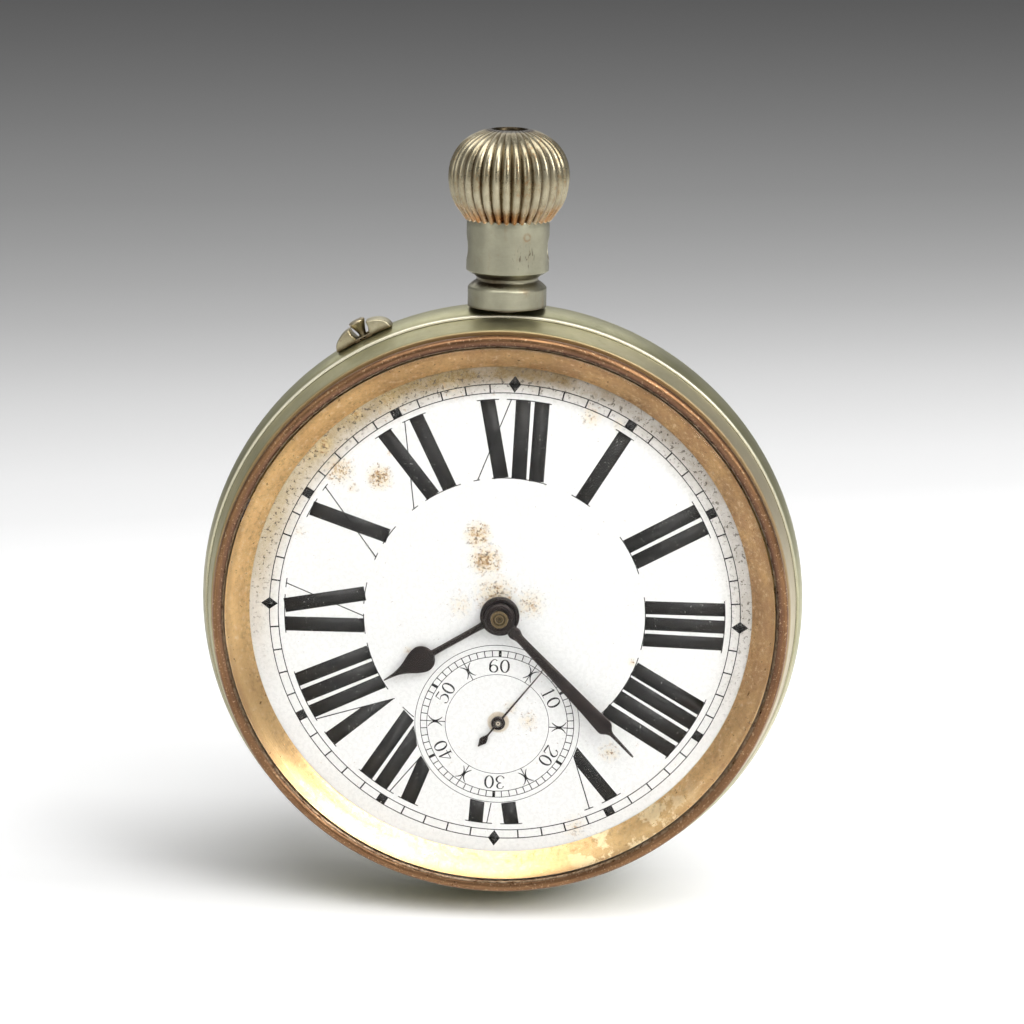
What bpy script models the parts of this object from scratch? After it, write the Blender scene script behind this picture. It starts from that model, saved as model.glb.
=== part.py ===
"""Oversize railway pocket watch with a pin-set lever movement, in metres, upright, dial facing -Y.

Everything is modelled on the bench: X to 3 o'clock, Y to 12 o'clock, Z up from the back cover's flat face
to the dial. The movement frame, an empty, then stands the watch upright, so that Z is 12 o'clock.
"""
import math

import bmesh
import bpy
from mathutils import Matrix, Vector

mm = 0.001

# Clearances
fit_gap = 0.2 * mm
running_gap = 0.1 * mm
overrun = 1.0 * mm
weld = 0.001 * mm

# Case: heights are above the back cover's flat face, drops are below the middle of the bezel's bead, and
# insets are in from the band's widest circle
case_radius = 32.5 * mm
bead_inset = 2.57 * mm
bead_radius = 0.62 * mm
ridge_inset = 0.45 * mm
ridge_drop = 4.42 * mm
ridge_edge = 0.3 * mm
belly_drop = 7.2 * mm
band_rear_height = 4.8 * mm
band_rear_inset = 0.6 * mm
band_wall = 0.9 * mm
lip_wall = 0.9 * mm
lip_height = 1.0 * mm
ring_shelf_drop = 0.96 * mm
ring_shelf_width = 0.8 * mm
ring_shelf_thickness = 0.6 * mm
flange_inset = 5.71 * mm
flange_clearance = 0.16 * mm
flange_wall = 0.45 * mm
crystal_edge = 0.5 * mm
crystal_rise = 1.05 * mm
crystal_wall = 0.8 * mm
back_dome_width = 10.9 * mm
back_wall = 0.65 * mm
dust_wall = 0.5 * mm
dust_clearance = 0.65 * mm
bridge_clearance = 1.66 * mm
hinge_offset = 1.15 * mm
knuckle_radius = 0.9 * mm
knuckle_length = 3.0 * mm
hinge_pin_radius = 0.35 * mm

# Pendant and crown, along the stem's axis
collar_radius = 4.15 * mm
collar_length = 2.1 * mm
collar_bevel = 0.28 * mm
groove_radius = 3.12 * mm
groove_length = 1.3 * mm
neck_radius = 4.36 * mm
neck_length = 5.4 * mm
neck_chamfer = 0.35 * mm
spigot_radius = 2.1 * mm
spigot_length = 2.0 * mm
bow_seat_radius = 1.3 * mm
bow_seat_depth = 0.3 * mm
bow_seat_drop = 2.5 * mm
sleeve_radius = 1.5 * mm
crown_radius = 6.38 * mm
crown_height = 9.7 * mm
crown_top_radius = 2.3 * mm
crown_foot_radius = 4.5 * mm
crown_dimple_radius = 1.8 * mm
crown_dimple_depth = 0.3 * mm
crown_ribs = 34
crown_rib_depth = 0.42 * mm
stem_radius = 0.9 * mm

# Hand-setting pin on the band, left of the pendant, and its guard
set_pin_angle = 27.6
set_pin_radius = 0.4 * mm
set_pin_travel = 0.9 * mm
set_pin_head_radius = 0.8 * mm
set_pin_head_height = 1.3 * mm
set_pin_reach = 2.0 * mm
guard_half_width = 3.2 * mm
guard_height = 1.5 * mm
guard_thickness = 2.4 * mm
guard_slot = 2.0 * mm
guard_web = 0.35 * mm

# Dial side: drops from the bezel's bead, then layers under the dial
dial_drop = 2.44 * mm
dial_thickness = 0.8 * mm
dial_rim = 0.75 * mm
dial_hole_radius = 1.9 * mm
seconds_hole_radius = 0.6 * mm
dial_foot_radius = 0.6 * mm
dial_foot_ring_share = 0.809
dial_foot_angles = (75.0, 195.0, 315.0)
layer_gap = 0.25 * mm
motion_thickness = 0.5 * mm
bar_thickness = 0.3 * mm
plate_gap = 0.4 * mm
ring_width = 2.65 * mm
plate_thickness = 2.2 * mm
ring_ledge_width = 1.4 * mm
ring_ledge_thickness = 0.6 * mm

# Train side: depths below the main plate
train_clearance = 0.7 * mm
bridge_thickness = 1.2 * mm
barrel_drum_share = 0.2941
barrel_height = 3.0 * mm
barrel_wall = 0.5 * mm
barrel_rim = 0.8 * mm
barrel_lid = 0.4 * mm
wheel_thickness = 0.4 * mm
wheel_layer = 0.5 * mm
center_pinion_length = 1.5 * mm
barrel_arbor_radius = 0.8 * mm
barrel_hub_radius = 1.7 * mm
center_arbor_radius = 0.6 * mm
arbor_radius = 0.35 * mm
seconds_arbor_radius = 0.25 * mm
mainspring_turns = 5
mainspring_strip = 0.3 * mm

# Teeth
barrel_teeth = 48
center_leaves = 8
center_teeth = 48
third_leaves = 6
third_teeth = 45
fourth_leaves = 6
fourth_teeth = 48
escape_leaves = 6
escape_teeth = 15
escape_radius_share = 0.125
cannon_leaves = 8
minute_teeth = 24
minute_leaves = 6
hour_teeth = 24
tooth_tip_share = 0.8
tooth_root_share = 1.4
leaf_tip_share = 0.5
leaf_root_share = 1.2
leaf_half_width_share = 0.15

# Plan, seen from the dial: the arbors' distances in shares of the plate's radius, and their angles
dial_turn = 1.6
seconds_drop_share = 0.4449
barrel_distance_share = 0.3675
third_distance_share = 0.265
fourth_distance_share = 0.2372
escape_distance_share = 0.2065
pallet_distance_share = 0.147
balance_distance_share = 0.1886
motion_distance_share = 0.1985
barrel_angle = 35.0
third_side = -1
minute_wheel_angle = 100.0
escape_angle = 20.0
pallet_angle = 5.0
balance_angle = 2.0
balance_radius_share = 0.261
balance_rim = 0.9 * mm
balance_thickness = 0.8 * mm
roller_radius = 1.5 * mm
roller_thickness = 0.3 * mm
impulse_pin_radius = 0.18 * mm
impulse_pin_ring = 1.0 * mm
hairspring_wire = 0.08 * mm
hairspring_turns = 4
hairspring_inner = 0.95 * mm
hairspring_outer_share = 0.125

# Keyless work under the dial
winding_pinion_radius = 2.1 * mm
winding_pinion_gap = 0.16 * mm
winding_pinion_length = 2.0 * mm
winding_pinion_leaves = 12
crown_wheel_radius_share = 0.1912
crown_wheel_teeth = 24
crown_wheel_place_share = 0.5662
idler_radius_share = 0.0956
idler_teeth = 12
idler_stud_radius = 0.5 * mm
winding_idler_angle = -20.0
ratchet_teeth = 20
keyless_tooth = 0.55 * mm
bar_boss_radius = 1.6 * mm
bar_end_radius = 0.9 * mm
bar_post_radius = 0.5 * mm
bar_post_inset = 1.8 * mm
click_distance_share = 0.2426
click_angle = -25.0
click_nose_angle = 12.0
click_boss_radius = 1.2 * mm
click_nose_radius = 0.3 * mm

# Bridges: feet and screws, in shares of the plate's radius across and up
barrel_foot_shares = ((0.7, 0.53), (-0.22, 0.51))
train_foot_shares = ((-0.5, -0.35), (0.07, -0.765))
pallet_foot_share = (0.35, -0.645)
balance_foot_share = (0.81, -0.09)
foot_radius = 1.8 * mm
boss_radius = 1.7 * mm
barrel_boss_radius = 4.0 * mm
screw_radius = 0.5 * mm
screw_head_radius = 1.1 * mm
screw_head_height = 0.45 * mm
screw_slot = 0.25 * mm
flat_head_height = 0.18 * mm
case_screw_angles = (160.0, -20.0)
case_screw_offset = 1.4 * mm

# Hands, as turned in the photograph, clockwise from 12 o'clock
hand_thickness = 0.22 * mm
hand_layer = 0.3 * mm
hour_angle = 238.9
hour_length_share = 0.5375
hour_boss_radius = 2.1 * mm
hour_boss_height = 0.65 * mm
hour_shank_half = 0.5 * mm
hour_pear_half = 1.42 * mm
hour_pear_place_share = 0.6875
minute_angle = 136.1
minute_length_share = 0.784
minute_boss_radius = 1.63 * mm
minute_boss_height = 0.6 * mm
minute_root_half = 0.42 * mm
minute_belly_half = 0.6 * mm
minute_belly_place_share = 0.5475
seconds_angle = 38.2
seconds_length_share = 0.62
seconds_tail_share = 0.2645
seconds_boss_radius = 0.69 * mm
seconds_half = 0.14 * mm
seconds_spade_half = 0.42 * mm
cannon_radius = 0.95 * mm
cannon_bore = 0.7 * mm
cannon_dimple_radius = 0.42 * mm
cannon_dimple_depth = 0.25 * mm
hour_pipe_radius = 1.4 * mm
tip_half = 0.07 * mm

# Facets
case_steps = 36
inner_steps = 18
small_steps = 10
tiny_steps = 7
curve_points = 5
curl_points = 10
window_points = 3
link_points = 3
guard_points = 20
sharp_angle = 35.0

# Heights worked out from the sizes above, from the back up
train_space = plate_gap + barrel_height + wheel_layer + wheel_thickness + train_clearance
bridge_bottom = back_wall + dust_clearance + dust_wall + bridge_clearance
bridge_top = bridge_bottom + bridge_thickness
plate_bottom = bridge_top + train_space
plate_top = plate_bottom + plate_thickness
motion_bottom = plate_top + plate_gap
motion_top = motion_bottom + motion_thickness
hour_wheel_bottom = motion_top + layer_gap
hour_wheel_top = hour_wheel_bottom + motion_thickness
dial_bottom = hour_wheel_top + layer_gap
dial_top = dial_bottom + dial_thickness
case_depth = dial_top + dial_drop
stem_height = motion_bottom - winding_pinion_gap - winding_pinion_radius
barrel_top = plate_bottom - plate_gap
barrel_bottom = barrel_top - barrel_height
center_wheel_top = barrel_bottom - wheel_layer
center_pinion_top = plate_bottom - fit_gap
third_wheel_top = center_pinion_top - center_pinion_length - fit_gap
fourth_wheel_top = third_wheel_top - wheel_thickness - 1.4 * wheel_layer
escape_wheel_top = plate_bottom - 2.2 * wheel_layer
pallet_cock_top = escape_wheel_top - wheel_thickness - plate_gap
pallet_cock_bottom = pallet_cock_top - 0.65 * bridge_thickness
balance_top = pallet_cock_bottom - 1.6 * wheel_layer
balance_bottom = balance_top - balance_thickness
hairspring_height = (bridge_top + balance_bottom) / 2
band_top = case_depth - ridge_drop - fit_gap
belly_height = case_depth - belly_drop
ring_shelf_height = plate_bottom - ring_shelf_drop

# Radii worked out from the case's own
ridge_radius = case_radius - ridge_inset
bead_ring_radius = case_radius - bead_inset
band_rear_radius = case_radius - band_rear_inset
back_flat_radius = band_rear_radius - back_dome_width
flange_inner_radius = case_radius - flange_inset
flange_outer_radius = bead_ring_radius - bead_radius - flange_clearance
dial_radius = flange_outer_radius - dial_rim
lip_outer_radius = ridge_radius - lip_wall
lip_inner_radius = lip_outer_radius - lip_wall
shelf_radius = lip_inner_radius - ring_shelf_width
band_inner_rear = band_rear_radius - band_wall
plate_radius = lip_inner_radius - ring_width - 2 * fit_gap

# Sizes in plan worked out from the plate's and the dial's
dial_foot_ring = dial_foot_ring_share * plate_radius
barrel_drum_radius = barrel_drum_share * plate_radius
escape_radius = escape_radius_share * plate_radius
balance_radius = balance_radius_share * plate_radius
hairspring_outer = hairspring_outer_share * plate_radius
crown_wheel_radius = crown_wheel_radius_share * plate_radius
crown_wheel_place = crown_wheel_place_share * plate_radius
idler_radius = idler_radius_share * plate_radius
bar_post_ring = plate_radius - bar_post_inset
click_distance = click_distance_share * plate_radius
seconds_drop = seconds_drop_share * plate_radius
barrel_distance = barrel_distance_share * plate_radius
third_distance = third_distance_share * plate_radius
fourth_distance = fourth_distance_share * plate_radius
escape_distance = escape_distance_share * plate_radius
pallet_distance = pallet_distance_share * plate_radius
balance_distance = balance_distance_share * plate_radius
motion_distance = motion_distance_share * plate_radius
hour_length = hour_length_share * flange_inner_radius
hour_pear_place = hour_pear_place_share * hour_length
minute_length = minute_length_share * flange_inner_radius
minute_belly_place = minute_belly_place_share * minute_length
seconds_length = seconds_length_share * seconds_drop
seconds_tail = seconds_tail_share * seconds_drop
barrel_module = 2 * barrel_distance / (barrel_teeth + center_leaves)
center_module = 2 * third_distance / (center_teeth + third_leaves)
third_module = 2 * fourth_distance / (third_teeth + fourth_leaves)
fourth_module = 2 * escape_distance / (fourth_teeth + escape_leaves)
cannon_module = 2 * motion_distance / (minute_teeth + cannon_leaves)
hour_module = 2 * motion_distance / (hour_teeth + minute_leaves)

# Places in plan worked out from the teeth
center_place = Vector((0.0, 0.0))
seconds_place = Vector((
    -seconds_drop * math.sin(math.radians(dial_turn)),
    -seconds_drop * math.cos(math.radians(dial_turn)),
))


def toward(start, distance, angle):
    turn = math.radians(angle)
    return start + distance * Vector((math.cos(turn), math.sin(turn)))


def meeting_place(first, first_distance, second, second_distance, side):
    """Where two arms pinned at two places meet, left (1) or right (-1) of the line between them."""
    between = second - first
    span = between.length
    share = (first_distance**2 + span**2 - second_distance**2) / (2 * first_distance * span)
    swing = math.acos(max(-1.0, min(1.0, share)))
    start = math.atan2(between.y, between.x)
    return toward(first, first_distance, math.degrees(start + side * swing))


def heading(start, end):
    return math.degrees(math.atan2(end.y - start.y, end.x - start.x))


def pitch_radius(teeth, module):
    return teeth * module / 2


barrel_place = toward(center_place, barrel_distance, barrel_angle)
third_place = meeting_place(center_place, third_distance, seconds_place, fourth_distance, third_side)
escape_place = toward(seconds_place, escape_distance, escape_angle)
pallet_place = toward(escape_place, pallet_distance, pallet_angle)
balance_place = toward(pallet_place, balance_distance, balance_angle)
crown_wheel_center = Vector((0.0, crown_wheel_place))
idler_reach = crown_wheel_radius + idler_radius + running_gap
winding_idler_place = toward(crown_wheel_center, idler_reach, winding_idler_angle)
ratchet_radius = (barrel_place - winding_idler_place).length - idler_radius - running_gap
minute_tip_radius = pitch_radius(minute_teeth, cannon_module) + tooth_tip_share * cannon_module
minute_wheel_place = toward(center_place, motion_distance, minute_wheel_angle)
setting_place_pressed = meeting_place(
    crown_wheel_center,
    idler_reach,
    minute_wheel_place,
    idler_radius + minute_tip_radius + running_gap,
    -1,
)
rock_angle = math.degrees(set_pin_travel / (crown_wheel_place * math.sin(math.radians(set_pin_angle))))
setting_idler_place = toward(
    crown_wheel_center, idler_reach, heading(crown_wheel_center, setting_place_pressed) - rock_angle
)
set_pin_heading = 90.0 + set_pin_angle
bar_post_place = toward(center_place, bar_post_ring, set_pin_heading)
bar_post_pressed = toward(
    crown_wheel_center,
    (bar_post_place - crown_wheel_center).length,
    heading(crown_wheel_center, bar_post_place) + rock_angle,
)
click_place = toward(barrel_place, click_distance, click_angle)
click_nose_place = toward(barrel_place, ratchet_radius + click_nose_radius + running_gap, click_nose_angle)


def plate_share(share):
    return Vector((share[0] * plate_radius, share[1] * plate_radius))


# Scene
for old in list(bpy.data.objects):
    bpy.data.objects.remove(old)
watch = bpy.data.collections.new("railway_pocket_watch")
tools = bpy.data.collections.new("cutters")
bpy.context.scene.collection.children.link(watch)
bpy.context.scene.collection.children.link(tools)
movement_frame = bpy.data.objects.new("movement_frame", None)
movement_frame.rotation_euler.x = math.radians(90.0)
watch.objects.link(movement_frame)


def finish(name, color, roughness, metallic, transmission=0.0):
    material = bpy.data.materials.new(name)
    material.use_nodes = True
    shader = material.node_tree.nodes["Principled BSDF"]
    shader.inputs["Base Color"].default_value = (*color, 1.0)
    shader.inputs["Roughness"].default_value = roughness
    shader.inputs["Metallic"].default_value = metallic
    shader.inputs["Transmission Weight"].default_value = transmission
    return material


nickel = ((0.33, 0.31, 0.22), 0.35, 1.0)
brass = ((0.60, 0.38, 0.14), 0.35, 1.0)
bead_copper = ((0.30, 0.13, 0.06), 0.4, 1.0)
steel = ((0.45, 0.45, 0.46), 0.25, 1.0)
dark_steel = ((0.03, 0.022, 0.02), 0.45, 0.6)
enamel = ((0.85, 0.85, 0.82), 0.2, 0.0)
glass = ((0.95, 0.97, 0.98), 0.02, 0.0, 0.9)


# Solids
def place(name, mesh, at, collection, look):
    piece = bpy.data.objects.new(name, mesh)
    collection.objects.link(piece)
    piece.parent = movement_frame
    piece.location = at
    if look:
        mesh.materials.append(finish(name, *look))
    else:
        piece.hide_render = True
        piece.display_type = "WIRE"
    return piece


def turned(name, profile, look=None, at=(0.0, 0.0, 0.0), steps=small_steps, along_y=False):
    """A profile of (radius, height) points, outer side first and top to bottom, turned about its axis."""
    closed = profile[0][0] > 0 and profile[-1][0] > 0
    mesh = bpy.data.meshes.new(name)
    points = [(radius, 0.0, height) for radius, height in profile]
    edges = [(index, index + 1) for index in range(len(points) - 1)]
    if closed:
        edges.append((len(points) - 1, 0))
    mesh.from_pydata(points, edges, [])
    piece = place(name, mesh, at, watch if look else tools, look)
    if along_y:
        piece.rotation_euler.x = math.radians(-90.0)
    spin = piece.modifiers.new("turn", "SCREW")
    spin.axis = "Z"
    spin.steps = steps
    spin.render_steps = steps
    spin.use_merge_vertices = True
    spin.merge_threshold = weld
    spin.use_smooth_shade = True
    return piece


def rod(name, radius, bottom, top, look=None, at=(0.0, 0.0), steps=small_steps, along_y=False):
    profile = [(0.0, top), (radius, top), (radius, bottom), (0.0, bottom)]
    spot = (at[0], at[1], stem_height if along_y else 0.0)
    return turned(name, profile, look, spot, steps, along_y)


def ring(name, outer, inner, bottom, top, look=None, at=(0.0, 0.0), steps=small_steps, along_y=False):
    profile = [(outer, top), (outer, bottom), (inner, bottom), (inner, top)]
    spot = (at[0], at[1], stem_height if along_y else 0.0)
    return turned(name, profile, look, spot, steps, along_y)


def flat(name, loops, bottom, top, look=None, at=(0.0, 0.0)):
    """Outlines in plan, the first the rim and the rest its holes, extruded from bottom to top."""
    curve = bpy.data.curves.new(name, "CURVE")
    curve.dimensions = "2D"
    curve.fill_mode = "BOTH"
    curve.extrude = (top - bottom) / 2
    for loop in loops:
        spline = curve.splines.new("POLY")
        spline.points.add(len(loop) - 1)
        spline.use_cyclic_u = True
        for point, spot in zip(spline.points, loop):
            point.co = (spot[0], spot[1], 0.0, 1.0)
    outline = bpy.data.objects.new(name, curve)
    tools.objects.link(outline)
    bpy.context.view_layer.update()
    graph = bpy.context.evaluated_depsgraph_get()
    mesh = bpy.data.meshes.new_from_object(outline.evaluated_get(graph))
    bpy.data.objects.remove(outline)
    shape = bmesh.new()
    shape.from_mesh(mesh)
    bmesh.ops.remove_doubles(shape, verts=shape.verts, dist=weld)
    shape.to_mesh(mesh)
    shape.free()
    return place(name, mesh, (at[0], at[1], (top + bottom) / 2), watch if look else tools, look)


def boolean(piece, tool, operation):
    change = piece.modifiers.new(tool.name, "BOOLEAN")
    change.operation = operation
    change.object = tool
    change.solver = "EXACT"


def cut(piece, *cutters):
    for cutter in cutters:
        boolean(piece, cutter, "DIFFERENCE")


def join(piece, *others):
    for other in others:
        boolean(piece, other, "UNION")


def drill(piece, spots, radius, bottom, top, steps=tiny_steps):
    """One cutter with a hole at each spot, through the heights given and a little past them."""
    for number, spot in enumerate(spots):
        name = piece.name + "_hole_" + str(len(piece.modifiers)) + "_" + str(number)
        cut(piece, rod(name, radius, bottom - overrun, top + overrun, None, spot, steps))


# Outlines in plan
def circle(radius, points, center=(0.0, 0.0)):
    turns = [2 * math.pi * index / points for index in range(points)]
    return [(center[0] + radius * math.cos(turn), center[1] + radius * math.sin(turn)) for turn in turns]


def link(first, first_radius, second, second_radius, points=link_points):
    """The outline of a belt round two discs."""
    between = second - first
    swing = math.acos((first_radius - second_radius) / between.length)
    along = math.atan2(between.y, between.x)
    loop = []
    for index in range(points + 1):
        turn = along + swing + (2 * math.pi - 2 * swing) * index / points
        loop.append((first.x + first_radius * math.cos(turn), first.y + first_radius * math.sin(turn)))
    for index in range(points + 1):
        turn = along - swing + 2 * swing * index / points
        loop.append((second.x + second_radius * math.cos(turn), second.y + second_radius * math.sin(turn)))
    return loop


def blade(stations, angle):
    """A hand's outline: half widths at distances from its axis, pointing clockwise from 12 o'clock."""
    left = [(-half, distance) for distance, half in stations]
    right = [(half, distance) for distance, half in reversed(stations)]
    turn = Matrix.Rotation(math.radians(-angle), 2)
    return [tuple(turn @ Vector(spot)) for spot in left + right]


def wheel_rim(teeth, module, phase):
    """Pointed wheel teeth, the first one's tip at the phase angle."""
    pitch = 2 * math.pi / teeth
    tip = pitch_radius(teeth, module) + tooth_tip_share * module
    root = pitch_radius(teeth, module) - tooth_root_share * module
    loop = []
    for index in range(teeth):
        for radius, shift in ((root, -0.5), (tip, 0.0)):
            turn = math.radians(phase) + (index + shift) * pitch
            loop.append((radius * math.cos(turn), radius * math.sin(turn)))
    return loop


def pinion_rim(leaves, module, phase):
    """Square pinion leaves, with a gap at the phase angle."""
    pitch = 2 * math.pi / leaves
    tip = pitch_radius(leaves, module) + leaf_tip_share * module
    root = pitch_radius(leaves, module) - leaf_root_share * module
    loop = []
    for index in range(leaves):
        middle = math.radians(phase) + (index + 0.5) * pitch
        for radius, shift in ((root, -1.0), (tip, -0.5), (tip, 0.5), (root, 1.0)):
            turn = middle + shift * leaf_half_width_share * pitch
            loop.append((radius * math.cos(turn), radius * math.sin(turn)))
    return loop


def ratchet_rim(radius, teeth, depth, lean_share):
    """Leaning teeth: each rises along its back to the tip and drops at its face."""
    pitch = 2 * math.pi / teeth
    loop = []
    for index in range(teeth):
        start = index * pitch
        for reach, shift in ((radius - depth, 0.0), (radius, lean_share)):
            turn = start + shift * pitch
            loop.append((reach * math.cos(turn), reach * math.sin(turn)))
    return loop


def windows(count, inner, outer, spoke):
    """The openings between a wheel's spokes."""
    loops = []
    for index in range(count):
        start = 2 * math.pi * index / count
        end = start + 2 * math.pi / count
        loop = []
        for radius, order in ((inner, 1), (outer, -1)):
            half = math.asin(spoke / 2 / radius)
            first, last = (start + half, end - half) if order > 0 else (end - half, start + half)
            for step in range(window_points):
                turn = first + (last - first) * step / (window_points - 1)
                loop.append((radius * math.cos(turn), radius * math.sin(turn)))
        loops.append(loop)
    return loops


# Case
def arc(center, radius, start, end, points=curve_points):
    """Points on an arc in a profile, from start to end in degrees."""
    spots = []
    for index in range(points):
        turn = math.radians(start + (end - start) * index / (points - 1))
        spots.append((center[0] + radius * math.cos(turn), center[1] + radius * math.sin(turn)))
    return spots


def dome(flat_radius, rim_radius, bottom, top):
    """A quarter ellipse from the rim, at the top, down and in to the flat middle at the bottom."""
    spots = []
    for index in range(curve_points):
        turn = math.pi / 2 * index / (curve_points - 1)
        radius = flat_radius + (rim_radius - flat_radius) * math.cos(turn)
        spots.append((radius, top - (top - bottom) * math.sin(turn)))
    return spots


def make_band():
    shelf_bottom = ring_shelf_height - ring_shelf_thickness
    rise = band_top - belly_height
    profile = [
        (lip_outer_radius, band_top + lip_height),
        (lip_outer_radius, band_top),
        (ridge_radius - ridge_edge, band_top),
        (ridge_radius, band_top - ridge_edge),
        ((ridge_radius + case_radius) / 2 + ridge_edge / 3, belly_height + rise / 2),
        (case_radius, (belly_height + ring_shelf_height) / 2),
        (case_radius - ridge_edge / 2, (belly_height + band_rear_height) / 2),
        (band_rear_radius, band_rear_height),
        (band_inner_rear, band_rear_height),
        (band_inner_rear, shelf_bottom),
        (shelf_radius, shelf_bottom),
        (shelf_radius, ring_shelf_height),
        (lip_inner_radius, ring_shelf_height),
        (lip_inner_radius, band_top + lip_height),
    ]
    band = turned("case_band", profile, nickel, steps=case_steps)
    cut(band, rod("band_pendant_hole", spigot_radius + running_gap, shelf_radius - overrun,
                  case_radius + overrun, None, steps=inner_steps, along_y=True))
    cut(band, radial_rod("band_pin_hole", set_pin_radius + running_gap, shelf_radius - overrun,
                         case_radius + overrun))
    root = -band_rear_radius + band_wall / 2
    for side in (-1, 1):
        join(band, hinge_knuckle("band_knuckle_" + str(side + 1), side * (knuckle_length + fit_gap), root,
                                 hinge_height + fit_gap, hinge_height + web_rise))
    cut(band, hinge_rod("band_knuckle_space", knuckle_radius + fit_gap, knuckle_length + fit_gap, 0.0))


def radial_rod(name, radius, bottom, top, look=None, steps=small_steps):
    """A rod along the set pin's axis, from one distance from the centre to another."""
    profile = [(0.0, top), (radius, top), (radius, bottom), (0.0, bottom)]
    piece = turned(name, profile, look, (0.0, 0.0, stem_height), steps)
    piece.rotation_euler = (math.radians(-90.0), 0.0, math.radians(set_pin_angle))
    return piece


hinge_height = band_rear_height - fit_gap / 2
hinge_place = band_rear_radius + hinge_offset
web_rise = knuckle_radius * 0.8


def hinge_rod(name, radius, length, offset, look=None):
    profile = [(0.0, length / 2), (radius, length / 2), (radius, -length / 2), (0.0, -length / 2)]
    piece = turned(name, profile, look, (offset, -hinge_place, hinge_height))
    piece.rotation_euler.y = math.radians(90.0)
    return piece


def hinge_knuckle(name, offset, root, bottom, top):
    """A bored knuckle with a web that reaches the rim beside it."""
    knuckle = hinge_rod(name, knuckle_radius, knuckle_length, offset)
    join(knuckle, hinge_web(name + "_web", offset, root, bottom, top))
    cut(knuckle, hinge_rod(name + "_bore", hinge_pin_radius + running_gap, knuckle_length + overrun, offset))
    return knuckle


def hinge_web(name, offset, root, bottom, top):
    """The strip between a knuckle and its rim."""
    width = knuckle_length / 2 - running_gap
    near = offset - width
    far = offset + width
    start = -hinge_place + (hinge_pin_radius + running_gap + knuckle_radius) / 2
    return flat(name, [[(near, start), (far, start), (far, root), (near, root)]], bottom, top)


def make_back_cover():
    rim_top = band_rear_height - fit_gap
    outer = dome(back_flat_radius, band_rear_radius, 0.0, rim_top)
    inner = dome(back_flat_radius, band_rear_radius - back_wall, back_wall, rim_top)
    profile = [(0.0, back_wall)] + inner[::-1] + outer + [(0.0, 0.0)]
    cover = turned("back_cover", profile, nickel, steps=case_steps)
    join(cover, hinge_knuckle("cover_knuckle", 0.0, -band_rear_radius + back_wall / 2, rim_top - web_rise,
                              rim_top - running_gap))
    for side in (-1, 1):
        cut(cover, hinge_rod("cover_space_" + str(side + 1), knuckle_radius + fit_gap,
                             knuckle_length + fit_gap, side * (knuckle_length + fit_gap)))
    hinge_rod("back_hinge_pin", hinge_pin_radius, 3 * knuckle_length + fit_gap, 0.0, steel)


def make_dust_cover():
    rim_top = ring_shelf_height - ring_shelf_thickness - fit_gap
    rim_radius = band_inner_rear - fit_gap
    floor = back_wall + dust_clearance
    outer = dome(back_flat_radius, rim_radius, floor, band_rear_height)
    inner = dome(back_flat_radius, rim_radius - dust_wall, floor + dust_wall, band_rear_height)
    rim = [(rim_radius - dust_wall, rim_top), (rim_radius, rim_top)]
    profile = [(0.0, floor + dust_wall)] + inner[::-1] + rim + outer + [(0.0, floor)]
    turned("dust_cover", profile, brass, steps=inner_steps)


def make_bezel():
    foot = case_depth - ridge_drop
    inner_radius = flange_outer_radius + fit_gap
    seat = case_depth - 2 * bead_radius
    profile = [
        (inner_radius, seat),
        (bead_ring_radius + bead_radius + ridge_edge / 2, seat),
        (ridge_radius - ridge_edge, foot + 2 * ridge_edge),
        (ridge_radius, foot + ridge_edge),
        (ridge_radius, foot),
        (lip_outer_radius + fit_gap, foot),
        (lip_outer_radius + fit_gap, foot + lip_height),
        (inner_radius, foot + lip_height),
    ]
    turned("bezel", profile, nickel, steps=case_steps)

    # The crystal's rim, a bead in the bezel's seat
    profile = arc((bead_ring_radius, case_depth), bead_radius, 165.0, -40.0)
    outer_radius = profile[-1][0]
    profile += [
        (outer_radius, seat + running_gap),
        (inner_radius, seat + running_gap),
        (inner_radius, case_depth - bead_radius / 2),
    ]
    turned("crystal_rim", profile, bead_copper, steps=case_steps)


def make_crystal():
    bottom = case_depth + running_gap
    rise = bottom + crystal_rise
    outer = [(flange_outer_radius * math.cos(turn), bottom + crystal_edge + (rise + crystal_wall - bottom
              - crystal_edge) * math.sin(turn)) for turn in quarter_turns()]
    inner = [(flange_outer_radius * math.cos(turn), bottom + crystal_rise * math.sin(turn))
             for turn in quarter_turns()]
    turned("crystal", [(0.0, outer[-1][1])] + outer[-2::-1] + inner[:-1] + [(0.0, inner[-1][1])], glass,
           steps=case_steps)


def quarter_turns():
    """Even steps of a quarter turn, from the rim to the axis."""
    return [math.pi / 2 * index / (curve_points - 1) for index in range(curve_points)]


def make_flange():
    seat = dial_top + fit_gap / 2
    top = case_depth - fit_gap / 2
    profile = [
        (flange_outer_radius, top),
        (flange_outer_radius, top - flange_wall),
        (flange_inner_radius + 2 * flange_wall, seat),
        (flange_inner_radius, seat),
    ]
    turned("dial_flange", profile, brass, steps=case_steps)


# Pendant and crown
collar_foot = case_radius - fit_gap / 2
collar_top = collar_foot + collar_length
neck_foot = collar_top + groove_length
neck_top = neck_foot + neck_length


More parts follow.
